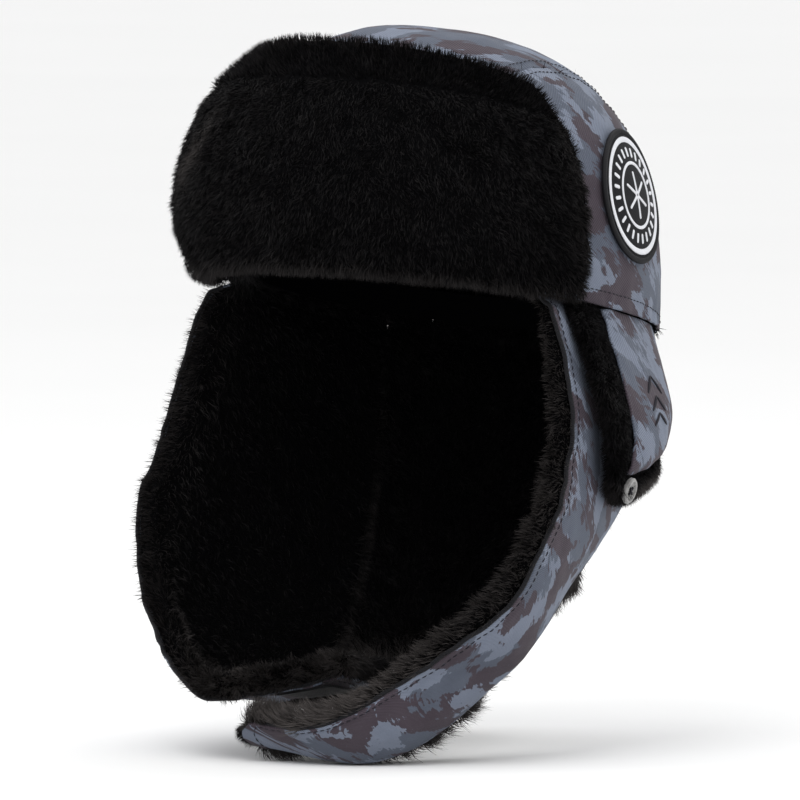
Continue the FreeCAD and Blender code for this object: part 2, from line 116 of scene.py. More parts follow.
RIGHT_EAR_ROWS = [
    [(-87, -52, 10), (-90, -27, 5), (-91, 2, -1), (-86, 36, -8), (-74, 68, -14.3)],
    [(-99, -56, 0), (-95, -28, -7), (-93, 2, -13), (-88, 37, -20), (-76, 67, -26)],
    [(-112, -61, -45), (-107, -32, -45), (-101, 2, -47), (-91, 37, -50), (-79, 62, -52)],
    [(-115, -71, -71), (-109, -40, -73), (-103, -6, -77), (-93, 28, -83), (-80, 56, -90)],
    [(-116.5, -85, -94), (-112, -54, -98), (-106, -20, -104), (-97, 14, -115), (-81, 46, -130)],
    [(-104, -104, -132), (-108, -78, -134), (-106, -48, -140), (-97, -14, -152), (-80, 24, -170)],
    [(-85, -121, -152), (-95, -98, -156), (-97, -70, -162), (-90, -38, -172), (-72, -4, -184)],
    [(-68, -133, -168), (-78, -112, -173), (-83, -88, -178), (-80, -62, -183), (-68, -34, -188)],
    [(-42, -144, -181), (-50, -127, -181), (-56, -108, -182), (-57, -90, -185), (-52, -72, -188)],
    [(-8, -141, -177), (-10, -130, -177), (-11, -119, -178), (-11, -108, -180), (-10, -97, -182)],
    [(26, -132, -169), (29, -124, -170), (30, -115, -172), (28, -106, -174), (24, -98, -176)],
]
NECK_MIDDLE_ROWS = [
    [(-58, 88, -18.4), (-32, 105, -21.9), (0, 112, -23.3), (32, 105, -21.9), (58, 88, -18.4)],
    [(-60, 90, -31), (-33, 108, -34), (0, 114, -35), (33, 108, -34), (60, 90, -31)],
    [(-63, 85, -56), (-34, 103, -59), (0, 110, -60), (34, 103, -59), (63, 84, -56)],
    [(-66, 79, -91), (-36, 96, -91), (0, 101, -90), (33, 95, -88), (61, 77, -85)],
    [(-67, 70, -130), (-38, 86, -125), (-2, 90, -117), (30, 84, -110), (56, 63, -104)],
    [(-64, 52, -176), (-38, 67, -171), (-6, 72, -158), (26, 66, -144), (50, 43, -132)],
]
SIDE_ROWS = [
    [(95, -36, 6.8), (96.5, -10, 1.5), (95.5, 14, -3.4), (91.5, 36, -7.8), (85, 52, -11)],
    [(105.5, -42, -6), (104.5, -14, -13), (102, 12, -17), (96, 37, -21), (88, 53, -23)],
    [(120.5, -44, -42), (119.5, -21, -45), (115, 8, -46), (106, 36, -48), (95, 54, -48)],
    [(119.5, -38, -62), (119.5, -18, -65), (115.5, 9, -66), (105, 34, -65), (94, 50, -62)],
    [(118, -34, -73), (117.5, -21, -76), (112.5, 6, -74), (103, 31, -70), (94, 45, -64)],
    [(117, -31, -81), (115, -21, -86), (109.5, 4, -83), (101, 27, -78), (94, 40, -70)],
]
SIDE_CLOTH_START = 0.25
SIDE_CLOTH_END = 0.80


# Arithmetic on arrays of points

def unit(a):
    return a / np.maximum(np.linalg.norm(a, axis=-1, keepdims=True), 1e-9)


def smooth(t):
    t = np.clip(t, 0.0, 1.0)
    return t * t * (3 - 2 * t)


LATTICE = np.random.default_rng(11).random((32, 32, 32))


def noise(points, size):
    """Smooth noise from -1 to 1 whose features are about that many millimetres across."""
    q = np.asarray(points, float) / size
    cell = np.floor(q).astype(int)
    f = smooth(q - cell)
    total = 0.0
    for corner in itertools.product((0, 1), repeat=3):
        share = np.prod(np.where(corner, f, 1 - f), axis=-1)
        i, j, k = np.moveaxis((cell + corner) % 32, -1, 0)
        total = total + share * LATTICE[i, j, k]
    return 2 * total - 1


def noise_vector(points, size):
    shifts = (0.0, 37.3, 71.9)
    return np.stack([noise(points + shift, size) for shift in shifts], axis=-1)


# Cloth surfaces, as in the CAD model

def row_weights(t, count):
    """Weights of count evenly numbered points in a smooth curve at t, straight beyond its ends."""
    t = np.asarray(t, float).ravel()
    place = t * (count - 1)
    i = np.clip(np.floor(place), 0, count - 2).astype(int)
    f = place - i
    g = np.clip(f, 0, 1)
    over = (f - g)[:, None]
    spline = np.stack([-g + 2 * g**2 - g**3, 2 - 5 * g**2 + 3 * g**3,
                       g + 4 * g**2 - 3 * g**3, -g**2 + g**3], axis=1) / 2
    slope = np.where(over < 0, [-0.5, 0, 0.5, 0], [0, -0.5, 0, 0.5])
    padded = np.zeros((len(t), count + 2))
    for k in range(4):
        padded[np.arange(len(t)), i + k] += spline[:, k] + (over * slope)[:, k]
    weights = padded[:, 1:-1]
    weights[:, 0] += 2 * padded[:, 0]
    weights[:, 1] -= padded[:, 0]
    weights[:, -1] += 2 * padded[:, -1]
    weights[:, -2] -= padded[:, -1]
    return weights


def table_surface(rows, outward):
    table = np.array(rows, float)

    def base(u, v):
        across = row_weights(u, table.shape[1])
        down = row_weights(v, table.shape[0])
        return np.einsum("kr,kc,rcd->kd", down, across, table)

    def point(u, v, offset):
        u, v, offset = np.broadcast_arrays(u, v, offset)
        shape = u.shape
        u, v, offset = u.ravel(), v.ravel(), offset.ravel()
        step = 0.004
        along = base(u + step, v) - base(u - step, v)
        down = base(u, v + step) - base(u, v - step)
        normal = unit(np.cross(along, down))
        return (base(u, v) + outward * offset[:, None] * normal).reshape(shape + (3,))
    return point


def mirrored(surface):
    def point(u, v, offset):
        return surface(u, v, offset) * [-1, 1, 1]
    return point


def on_dome(p, offset):
    """Push points out from the hem's centre onto the dome, then along its normal."""
    a, b, c, power = HEM_HALF_WIDTH, HEM_HALF_LENGTH, CROWN_HEIGHT, CROWN_SQUARENESS
    x, y, z = np.moveaxis(p, -1, 0)
    z = np.maximum(z, 0.0)
    size = (((x / a) ** 2 + (y / b) ** 2) ** (power / 2) + (z / c) ** power) ** (-1 / power)
    x, y, z = x * size, y * size, z * size
    flat = np.maximum((x / a) ** 2 + (y / b) ** 2, 1e-9)
    ring = flat ** (power / 2 - 1)
    normal = unit(np.stack([ring * x / a**2, ring * y / b**2, (z / c) ** (power - 1) / c], axis=-1))
    q = np.stack([x, y, z], axis=-1) + normal * np.asarray(offset)[..., None]
    x, y, z = np.moveaxis(q, -1, 0)
    return np.stack([x, y + CROWN_LEAN * z, z + HEM_LEVEL - HEM_SLOPE * y], axis=-1)


def off_dome(q):
    """The point that the lean and the hem's slope carried to q."""
    x, y, z = np.moveaxis(np.asarray(q, float), -1, 0)
    y = (y - CROWN_LEAN * (z - HEM_LEVEL)) / (1 + CROWN_LEAN * HEM_SLOPE)
    return np.stack([x, y, z - HEM_LEVEL + HEM_SLOPE * y], axis=-1)


def seam_point(x, t):
    a, b, c, power = HEM_HALF_WIDTH, HEM_HALF_LENGTH, CROWN_HEIGHT, CROWN_SQUARENESS
    y = -b * math.sqrt(1 - (x / a) ** 2) * np.cos(math.pi * t)
    flat = (x / a) ** 2 + (y / b) ** 2
    z = c * np.maximum(0.0, 1 - flat ** (power / 2)) ** (1 / power)
    return np.stack([np.full_like(y, x), y, z], axis=-1)


def center_panel(u, v, offset):
    u, v, offset = np.broadcast_arrays(u, v, offset)
    half = SEAM_HALF_SPACING - PANEL_GAP / 2
    u3 = u[..., None]
    return on_dome(seam_point(-half, v) * (1 - u3) + seam_point(half, v) * u3, offset)


def side_panel(u, v, offset):
    """The wearer's left panel: u from front to back, v from the seam down to the hem."""
    u, v, offset = np.broadcast_arrays(u, v, offset)
    half = SEAM_HALF_SPACING + PANEL_GAP / 2
    first = math.asin(half / HEM_HALF_WIDTH)
    angle = first + (math.pi - 2 * first) * u
    hem = np.stack([HEM_HALF_WIDTH * np.sin(angle), -HEM_HALF_LENGTH * np.cos(angle), 0 * angle], -1)
    v3 = v[..., None]
    return on_dome(seam_point(half, u) * (1 - v3) + hem * v3, offset)


def visor_surface(u, v, offset):
    """u from the right end to the left end, v from the brow up."""
    u, v, offset = np.broadcast_arrays(u, v, offset)
    share = np.abs(2 * u - 1)
    angle = np.radians(VISOR_END_ANGLE) * (2 * u - 1)
    bottom = HEM_LEVEL + HEM_SLOPE * HEM_HALF_LENGTH * np.cos(angle) + VISOR_HEM_GAP
    top = VISOR_FRONT_TOP - (VISOR_FRONT_TOP - VISOR_END_TOP) * share**2.2
    top = top - VISOR_END_DROP * smooth((share - VISOR_END_SHARE) / 0.16) ** 2
    z = bottom + (top - bottom) * v
    rise = np.clip((z - bottom) / CROWN_HEIGHT, 0.0, 0.98)
    draw_in = 1 - 0.9 * (1 - (1 - rise**CROWN_SQUARENESS) ** (1 / CROWN_SQUARENESS))
    reach = VISOR_CLEARANCE + offset
    return np.stack([(HEM_HALF_WIDTH * draw_in + reach) * np.sin(angle),
                     -(HEM_HALF_LENGTH * draw_in + reach) * np.cos(angle), z], axis=-1)


def visor_face(u, v):
    depths = np.array(VISOR_FACE_DEPTHS)
    height = (row_weights(v, len(depths)) @ depths).reshape(np.shape(v))
    return height * (1 - 0.4 * smooth((np.abs(2 * u - 1) - 0.62) / 0.38))


left_ear = table_surface(LEFT_EAR_ROWS, -1)
right_ear = table_surface(RIGHT_EAR_ROWS, 1)
neck = table_surface([[right[-1]] + middle + [left[-1]] for right, middle, left
                      in zip(RIGHT_EAR_ROWS, NECK_MIDDLE_ROWS, LEFT_EAR_ROWS)], 1)
left_side = table_surface(SIDE_ROWS, -1)
right_side = mirrored(left_side)


def pile_depth(full, fade):
    def depth(u, v):
        return full * (HEM_PILE_SHARE + (1 - HEM_PILE_SHARE) * smooth(v / fade))
    return depth


def left_pile(u, v):
    return pile_depth(FLAP_PILE, 0.2)(u, v) * (1 - 0.35 * smooth((v - 0.78) / 0.15))


def side_pile(u, v):
    squeezed = HEM_PILE_SHARE + (1 - HEM_PILE_SHARE) * smooth(v / 0.35)
    return SIDE_PILE * squeezed * (0.6 + 0.4 * smooth(u / 0.3)) * (1 - 0.45 * u)


# Mesh making

def add_mesh(name, points, faces, uv=None, uv_name="cloth"):
    """Mesh object from points in mm and faces of one size, with a UV pair for each point."""
    faces = np.asarray(faces, np.int32)
    mesh = bpy.data.meshes.new(name)
    mesh.vertices.add(len(points))
    mesh.vertices.foreach_set("co", (np.asarray(points) * MM).astype(np.float32).ravel())
    mesh.loops.add(faces.size)
    mesh.loops.foreach_set("vertex_index", faces.ravel())
    mesh.polygons.add(len(faces))
    starts = np.arange(len(faces), dtype=np.int32) * faces.shape[1]
    mesh.polygons.foreach_set("loop_start", starts)
    mesh.update(calc_edges=True)
    mesh.shade_smooth()
    if uv is not None:
        layer = mesh.uv_layers.new(name=uv_name)
        layer.data.foreach_set("uv", np.asarray(uv, np.float32)[faces.ravel()].ravel())
    obj = bpy.data.objects.new(name, mesh)
    bpy.context.scene.collection.objects.link(obj)
    return obj


def grid_faces(n, m):
    place = np.arange(n * m).reshape(n, m)
    return np.stack([place[:-1, :-1], place[1:, :-1], place[1:, 1:], place[:-1, 1:]], -1).reshape(-1, 4)


def border(n, m):
    """Places round the edge of an n by m grid, in order."""
    sides = [(i, 0) for i in range(n - 1)]
    sides += [(n - 1, j) for j in range(m - 1)]
    sides += [(i, m - 1) for i in range(n - 1, 0, -1)]
    sides += [(0, j) for j in range(m - 1, 0, -1)]
    return np.array(sides)


def path_lengths(points, axis):
    steps = np.linalg.norm(np.diff(points, axis=axis), axis=-1)
    return np.concatenate([np.zeros_like(np.take(steps, [0], axis)), np.cumsum(steps, axis)], axis)


class Shell:
    """Closed body between two offsets of a surface, with a rounded rim. Faces of the outer
    offset come first, then the rim's, ring by ring from the outside, then the inner ones."""

    def __init__(self, surface, u_span, v_span, outer, inner, steps, roundness=1.0, rings=4):
        us = np.linspace(*u_span, steps[0])
        vs = np.linspace(*v_span, steps[1])
        u, v = np.meshgrid(us, vs, indexing="ij")
        outer_offset = outer(u, v) if callable(outer) else outer
        inner_offset = inner(u, v) if callable(inner) else inner
        top = surface(u, v, outer_offset)
        bottom = surface(u, v, inner_offset)
        n, m = u.shape
        cloth = self.measure(top)
        edge = border(n, m)
        inside = np.stack([np.clip(edge[:, 0], 1, n - 2), np.clip(edge[:, 1], 1, m - 2)], 1)
        e, f = tuple(edge.T), tuple(inside.T)
        middle = (top[e] + bottom[e]) / 2
        half = (top[e] - bottom[e]) / 2
        away = unit(middle - (top[f] + bottom[f]) / 2)
        reach = np.linalg.norm(half, axis=-1, keepdims=True) * roundness
        rim = []
        for ring in range(1, rings):
            turn = math.pi * ring / rings
            rim.append(middle + math.cos(turn) * half + math.sin(turn) * reach * away)
        self.points = np.concatenate([top.reshape(-1, 3), *rim, bottom.reshape(-1, 3)])
        count = len(edge)
        spare = [cloth[e] + 0.5 * ring for ring in range(1, rings)]
        self.uv = np.concatenate([cloth.reshape(-1, 2), *spare, cloth.reshape(-1, 2)])
        places = np.stack([u, v], -1)
        self.places = np.concatenate([places.reshape(-1, 2)] + [places[e]] * (rings - 1)
                                     + [places.reshape(-1, 2)])
        outline = edge[:, 0] * m + edge[:, 1]
        loops = [outline]
        loops += [n * m + count * ring + np.arange(count) for ring in range(rings - 1)]
        last = n * m + count * (rings - 1)
        loops.append(last + outline)
        rim_faces = []
        for first, second in zip(loops, loops[1:]):
            rim_faces.append(np.stack([first, second, np.roll(second, -1), np.roll(first, -1)], -1))
        self.rings = rings
        self.outer_count = (n - 1) * (m - 1)
        self.ring_count = count
        face = grid_faces(n, m)
        self.faces = np.concatenate([face, *rim_faces, last + face[:, ::-1]])
        a, b, c = (self.points[face[0, k]] for k in range(3))
        outward = (top - bottom).reshape(-1, 3)[0]
        if np.dot(np.cross(b - a, c - b), outward) < 0:
            self.faces = self.faces[:, ::-1]

    def measure(self, top):
        """Keep the outer face's width, length and area, and return its places laid flat."""
        lengths_u, lengths_v = path_lengths(top, 0), path_lengths(top, 1)
        self.width, self.length = lengths_u[-1].max(), lengths_v[:, -1].max()
        sides = np.cross(top[1:, :-1] - top[:-1, :-1], top[:-1, 1:] - top[:-1, :-1])
        self.area = float(np.linalg.norm(sides, axis=-1).sum())
        return np.stack([lengths_u - lengths_u[-1] / 2, -lengths_v], axis=-1)

    def add(self, name):
        return add_mesh(name, self.points, self.faces, self.uv * MM)


def tube(path, normals, width, height, sides=8, closed=False, ridge=0.0, ridges=0.0):
    """Points and faces of a tube of elliptical section; ridge and ridges wind a thread round it."""
    path, normals = np.asarray(path, float), np.asarray(normals, float)
    count = len(path)
    ahead = np.roll(path, -1, 0) - np.roll(path, 1, 0)
    if not closed:
        ahead[0], ahead[-1] = path[1] - path[0], path[-1] - path[-2]
    across = unit(np.cross(unit(ahead), normals))
    up = np.cross(across, unit(ahead))
    width, height = np.broadcast_to(width, count), np.broadcast_to(height, count)
    turn = 2 * np.pi * np.arange(sides) / sides
    along = np.arange(count)[:, None] / max(count - (0 if closed else 1), 1)
    swell = 1 + ridge * np.cos(2 * np.pi * ridges * along + turn)
    points = (path[:, None]
              + across[:, None] * (width[:, None] * swell * np.cos(turn))[..., None]
              + up[:, None] * (height[:, None] * swell * np.sin(turn))[..., None])
    ring = np.arange(count * sides).reshape(count, sides)
    if closed:
        ring = np.concatenate([ring, ring[:1]])
    ahead_ring, around = ring[1:], np.roll(ring, -1, 1)
    faces = np.stack([ring[:-1], around[:-1], around[1:], ahead_ring], -1).reshape(-1, 4)
    return points.reshape(-1, 3), faces


def join(parts):
    """Points and faces of several meshes as one."""
    points, faces, start = [], [], 0
    for some_points, some_faces in parts:
        points.append(some_points)
        faces.append(some_faces + start)
        start += len(some_points)
    return np.concatenate(points), np.concatenate(faces)


def spaced(points, step):
    """Places along a path, from 0 to 1, about one step apart."""
    lengths = path_lengths(points, 0)
    count = max(int(round(lengths[-1] / step)), 2)
    return np.linspace(0, lengths[-1], count + 1), lengths


def on_line(surface, line, offset, step):
    """Points and normals every step along a line of (u, v) places on a surface."""
    t = np.linspace(0, 1, 400)
    places = line(t)
    dense = surface(places[0], places[1], np.full(400, offset))
    at, lengths = spaced(dense, step)
    t = np.interp(at, lengths, t)
    u, v = line(t)
    points = surface(u, v, np.full(len(t), offset))
    normals = unit(surface(u, v, np.full(len(t), offset + 1.0)) - points)
    return points, normals


STITCH = 2.6
STITCH_GAP = 0.9
THREAD = 0.24


def stitches(surface, line, offset=0.12):
    """A row of topstitches: short threads that dip into the cloth at both ends."""
    fine = 5
    points, normals = on_line(surface, line, offset, (STITCH + STITCH_GAP) / 6)
    parts = []
    for start in range(0, len(points) - 6, 6):
        path = points[start:start + fine].copy()
        up = normals[start:start + fine]
        rise = np.sin(np.linspace(0, math.pi, fine))
        path += up * (0.24 * rise - 0.14)[:, None]
        radius = THREAD * (0.5 + 0.6 * rise)
        parts.append(tube(path, up, radius, radius, 6))
    return join(parts)


# Hair

HAIR_WIDTH = 0.34
HAIR_BEND = 0.52            # share of a hair's length below its bend


def hair_mesh(name, roots, normals, comb, length, lift, painted_light_tone, rng):
    """Flat blades of three triangles, bent once. The UV map holds the painted light tone and place along a
    hair.
    """
    count = len(roots)
    drift = 0.34 * noise_vector(roots, 7.0) + 0.26 * noise_vector(roots, 2.4)
    drift = drift + rng.normal(0, 0.16, (count, 3))
    length = length * rng.uniform(0.72, 1.12, count)
    lift = np.broadcast_to(lift, (count,))[:, None]
    first = unit(normals * (0.25 + lift) + comb * (1 - lift) * 0.6 + drift * 0.8)
    second = unit(normals * lift + comb * (1.15 - lift) + drift * 1.25)
    middle = roots + first * (length * HAIR_BEND)[:, None]
    tip = middle + second * (length * 0.48)[:, None]
    side = unit(np.cross(first, rng.normal(size=(count, 3))))
    wide = (HAIR_WIDTH * rng.uniform(0.7, 1.2, count))[:, None] / 2
    points = np.stack([roots - side * wide, roots + side * wide,
                       middle + side * wide * 0.85, middle - side * wide * 0.85, tip], 1)
    start = np.arange(count)[:, None, None] * 5
    faces = start + np.array([[0, 1, 2], [0, 2, 3], [3, 2, 4]])
    along = np.broadcast_to([0.0, 0.0, HAIR_BEND, HAIR_BEND, 1.0], (count, 5))
    painted_light_tone = np.clip(painted_light_tone + rng.normal(0, 0.06, count), 0, 1)
    uv = np.stack([np.broadcast_to(painted_light_tone[:, None], (count, 5)), along], -1)
    return add_mesh(name, points.reshape(-1, 3), faces.reshape(-1, 3), uv.reshape(-1, 2), "strand")


def sow(shell, count, rng, wanted):
    """Random roots on a shell's faces, as (points, normals, places); wanted weighs each face."""
    quads = shell.faces
    corners = shell.points[quads]
    cross = np.cross(corners[:, 2] - corners[:, 0], corners[:, 3] - corners[:, 1])
    area = np.linalg.norm(cross, axis=1) / 2
    vertex_normals = np.zeros_like(shell.points)
    for k in range(4):
        np.add.at(vertex_normals, quads[:, k], cross)
    vertex_normals = unit(vertex_normals)
    share = area * wanted
    picks = rng.choice(len(quads), count, p=share / share.sum())
    s, t = rng.random((2, count, 1))
    a, b, c, d = ((1 - s) * (1 - t), s * (1 - t), s * t, (1 - s) * t)

    def mixed(values):
        q = values[quads[picks]]
        return a * q[:, 0] + b * q[:, 1] + c * q[:, 2] + d * q[:, 3]
    return mixed(shell.points), unit(mixed(vertex_normals)), mixed(shell.places)


def face_kinds(shell):
    """For each face: 0 on the outer side, up to 1 across the rim, and 2 on the inner side."""
    kinds = np.full(len(shell.faces), 2.0)
    kinds[:shell.outer_count] = 0.0
    for ring in range(shell.rings):
        start = shell.outer_count + ring * shell.ring_count
        kinds[start:start + shell.ring_count] = (ring + 0.5) / shell.rings
    return kinds


# Materials

class Material:
    """A Principled material with a short way to add nodes. An input is a value or a socket."""

    def __init__(self, name, roughness=0.8, specular=0.3, sheen=0.0):
        self.data = bpy.data.materials.new(name)
        self.data.use_nodes = True
        self.tree = self.data.node_tree
        self.shader = self.tree.nodes["Principled BSDF"]
        self.shader.inputs["Roughness"].default_value = roughness
        self.shader.inputs["Specular IOR Level"].default_value = specular
        self.shader.inputs["Sheen Weight"].default_value = sheen

    def node(self, kind, settings=None, **inputs):
        made = self.tree.nodes.new("ShaderNode" + kind)
        for key, value in (settings or {}).items():
            setattr(made, key, value)
        for key, value in inputs.items():
            socket = made.inputs[int(key[1:])] if key[1:].isdigit() else made.inputs[key.replace("_", " ")]
            self.set(socket, value)
        return made

    def set(self, socket, value):
        if isinstance(value, bpy.types.NodeSocket):
            self.tree.links.new(value, socket)
        else:
            socket.default_value = value

    def math(self, operation, first, second=0.0):
        return self.node("Math", {"operation": operation}, i0=first, i1=second).outputs[0]

    def step(self, value, low, high):
        """0 below low, 1 above high."""
        made = self.node("MapRange", None, Value=value, From_Min=low, From_Max=high)
        return made.outputs[0]

    def mix(self, factor, first, second, blend="MIX"):
        made = self.node("Mix", {"data_type": "RGBA", "blend_type": blend})
        self.set(made.inputs["Factor"], factor)
        self.set(made.inputs[6], first)
        self.set(made.inputs[7], second)
        return made.outputs[2]

    def cloth_place(self, scale=(1, 1, 1), turn=0.0, shift=(0, 0, 0), start=None):
        """The place on the cloth in millimetres, turned and then scaled."""
        if start is None:
            uv = self.node("UVMap", {"uv_map": "cloth"}).outputs[0]
            start = self.node("VectorMath", {"operation": "SCALE"}, i0=uv, Scale=1 / MM).outputs[0]
        turned = self.node("Mapping", None, Vector=start, Rotation=(0, 0, turn), Location=shift)
        return self.node("Mapping", None, Vector=turned.outputs[0], Scale=scale).outputs[0]

    def object_place(self, scale=1.0):
        place = self.node("TexCoord").outputs["Object"]
        return self.node("VectorMath", {"operation": "SCALE"}, i0=place, Scale=scale / MM).outputs[0]

    def noise(self, place, detail=2.0, rough=0.5, scale=1.0):
        made = self.node("TexNoise", None, Vector=place, Scale=scale, Detail=detail, Roughness=rough)
        return made.outputs[0]

    def shaded(self, tint, shade):
        """A color times a grey value."""
        grey = self.node("CombineColor", None, Red=shade, Green=shade, Blue=shade).outputs[0]
        return self.mix(1.0, tint, grey, "MULTIPLY")

    def surface(self, tint, roughness):
        self.set(self.shader.inputs["Base Color"], tint)
        self.set(self.shader.inputs["Roughness"], roughness)

    def bump(self, height, distance, under=None):
        made = self.node("Bump", None, Height=height, Distance=distance)
        made.inputs["Strength"].default_value = 1.0
        if under is not None:
            self.set(made.inputs["Normal"], under)
        self.set(self.shader.inputs["Normal"], made.outputs[0])
        return made.outputs[0]


def color(r, g, b):
    return (r, g, b, 1.0)


PRINT_TURN = 0.62           # slant of the brush strokes on the cloth, in radians
TWILL_TURN = math.radians(52)
TWILL_PITCH = 1.15
YARN = 0.5


def wave_scale(pitch):
    """Scale of a wave texture whose bands are that many millimetres apart."""
    return 2 * math.pi / (20 * pitch)


def camo_twill(name, shift):
    """Twill printed with brush strokes: mauve brown ground, mid and pale blue-grey on top."""
    m = Material(name, roughness=0.82, specular=0.2, sheen=0.04)
    m.shader.inputs["Sheen Roughness"].default_value = 0.5
    place = m.cloth_place(shift=shift)

    def strokes(length, width, turn, shift, detail=5.0):
        scale = (1 / length, 1 / width, 1)
        return m.noise(m.cloth_place(scale, PRINT_TURN + turn, shift, start=place), detail, 0.5)

    dry = strokes(13, 1.2, 0.0, (0, 0, 0), 2.0)
    dry_edge = m.math("MULTIPLY", m.math("SUBTRACT", dry, 0.5), 0.13)
    blue_field = m.math("ADD", strokes(44, 25, 0.0, (11, 7, 0)), dry_edge)
    pale_field = m.math("ADD", strokes(38, 22, 0.4, (170, 60, 0)), dry_edge)
    brown_field = m.math("SUBTRACT", strokes(36, 20, -0.3, (-90, 210, 0)), dry_edge)
    speck_field = strokes(3.6, 2.2, 0.0, (35, 90, 0), 2.0)
    tint = strokes(22, 9, 0.1, (9, 90, 0), 3.0)
    mauve = m.mix(tint, color(0.044, 0.033, 0.044), color(0.072, 0.057, 0.072))
    blue = m.mix(tint, color(0.076, 0.090, 0.124), color(0.108, 0.124, 0.163))
    light = m.mix(tint, color(0.142, 0.166, 0.222), color(0.205, 0.234, 0.300))
    painted = mauve
    for field, start, end, paint in ((blue_field, 0.482, 0.490, blue), (pale_field, 0.508, 0.516, light),
                                     (brown_field, 0.560, 0.568, mauve), (speck_field, 0.725, 0.735, blue)):
        painted = m.mix(m.step(field, start, end), painted, paint)
    wave = m.node("TexWave", {"wave_type": "BANDS", "bands_direction": "X"},
                  Vector=m.cloth_place((1, 1, 1), TWILL_TURN, start=place),
                  Scale=wave_scale(TWILL_PITCH), Distortion=0.6, Detail=1.0, Detail_Scale=2.0)
    rib = wave.outputs["Fac"]
    yarn = m.noise(m.cloth_place((1 / YARN, 1 / YARN, 1), 0.0, start=place), 2.0, 0.6)
    shade = m.math("ADD", m.math("MULTIPLY", rib, 0.30), m.math("MULTIPLY", yarn, 0.40))
    shade = m.math("ADD", shade, 0.64)
    worn = m.noise(m.cloth_place((1 / 12, 1 / 12, 1), 0.0, start=place), 3.0, 0.6)
    m.surface(m.shaded(painted, shade), m.step(worn, -1.6, 1.4))
    under = m.bump(worn, 0.0006)
    under = m.bump(yarn, 0.00012, under)
    m.bump(rib, 0.00022, under)
    return m.data


def hair_material():
    """Black hairs; a painted light tone of 1 gives the brown grey of lit edges, a painted highlight. Roots
    are darker than tips.
    """
    m = Material("black_fur_hair", roughness=0.55, specular=0.07, sheen=0.0)
    strand = m.node("UVMap", {"uv_map": "strand"}).outputs[0]
    parts = m.node("SeparateXYZ", None, Vector=strand)
    painted_light_tone, along = parts.outputs[0], parts.outputs[1]
    patch = m.noise(m.object_place(1 / 9.0), 2.0, 0.5)
    black = m.mix(along, color(0.0012, 0.0011, 0.0014), color(0.0056, 0.0053, 0.0062))
    # Painted highlight: the brown grey of lit hair, brightest at the tips where light catches them.
    grey = m.mix(along, color(0.006, 0.0055, 0.0055), color(0.125, 0.112, 0.108))
    mixed = m.mix(painted_light_tone, black, grey)
    shade = m.step(patch, 0.15, 0.85)
    shade = m.math("ADD", m.math("MULTIPLY", shade, 0.7), 0.65)
    m.surface(m.shaded(mixed, shade), m.step(along, -1.2, 2.2))
    return m.data


def pile_material():
    """The dense pile under the visible hair tips."""
    m = Material("black_fur_pile", roughness=0.9, specular=0.02, sheen=0.0)
    fine = m.noise(m.object_place(1 / 0.9), 3.0, 0.65)
    clumps = m.noise(m.object_place(1 / 4.0), 3.0, 0.6)
    tint = m.mix(fine, color(0.0010, 0.0010, 0.0012), color(0.0034, 0.0032, 0.0037))
    m.surface(tint, m.step(clumps, -2.0, 1.2))
    under = m.bump(clumps, 0.0012)
    m.bump(fine, 0.0005, under)
    return m.data


def thread_material(name, tint, specular=0.12, sheen=0.0):
    """Twisted sewing or embroidery thread."""
    m = Material(name, roughness=0.6, specular=specular, sheen=sheen)
    lint = m.noise(m.object_place(1 / 0.35), 2.0, 0.6)
    shade = m.step(lint, 0.1, 0.9)
    bright = tuple(min(1.0, c * 1.12) for c in tint)
    dim = tuple(c * 0.78 for c in tint)
    m.surface(m.mix(shade, color(*dim), color(*bright)), m.step(lint, -1.1, 1.6))
    m.bump(lint, 0.00008)
    return m.data


def woven_material(name, tint, pitch, specular=0.25, roughness=0.75, sheen=0.05):
    """Plain narrow weave: ribs in two directions."""
    m = Material(name, roughness=roughness, specular=specular, sheen=sheen)
    place = m.object_place(1.0)
    scale = wave_scale(pitch)
    ribs = m.node("TexWave", {"bands_direction": "Z"}, Vector=place, Scale=scale, Distortion=0.4)
    cross = m.node("TexWave", {"bands_direction": "DIAGONAL"}, Vector=place, Scale=scale * 0.7,
                   Distortion=0.4)
    weave = m.math("MAXIMUM", ribs.outputs["Fac"], cross.outputs["Fac"])
    lint = m.noise(m.object_place(1 / 2.0), 3.0, 0.6)
    dim, bright = tuple(c * 0.6 for c in tint), tuple(min(1.0, c * 1.2) for c in tint)
    m.surface(m.mix(weave, color(*dim), color(*bright)), m.step(lint, -1.6, 1.2))
    m.bump(weave, 0.00012)
    return m.data


def button_material():
    """Pearly moulded plastic with soft swirls under a thin gloss."""
    m = Material("button_pearl", roughness=0.28, specular=0.5)
    swirl = m.noise(m.object_place(1 / 3.0), 4.0, 0.55)
    tint = m.mix(m.step(swirl, 0.3, 0.7), color(0.11, 0.108, 0.106), color(0.31, 0.305, 0.30))
    m.surface(tint, m.step(swirl, -0.6, 2.2))
    m.shader.inputs["Coat Weight"].default_value = 0.4
    m.shader.inputs["Coat Roughness"].default_value = 0.15
    m.bump(swirl, 0.00005)
    return m.data


def floor_material():
    m = Material("studio_floor", roughness=0.9, specular=0.05)
    cloud = m.noise(m.node("TexCoord").outputs["Object"], 2.0, 0.5, scale=3.0)
    tint = m.mix(cloud, color(0.90, 0.90, 0.90), color(0.93, 0.93, 0.93))
    m.set(m.shader.inputs["Base Color"], tint)
    return m.data


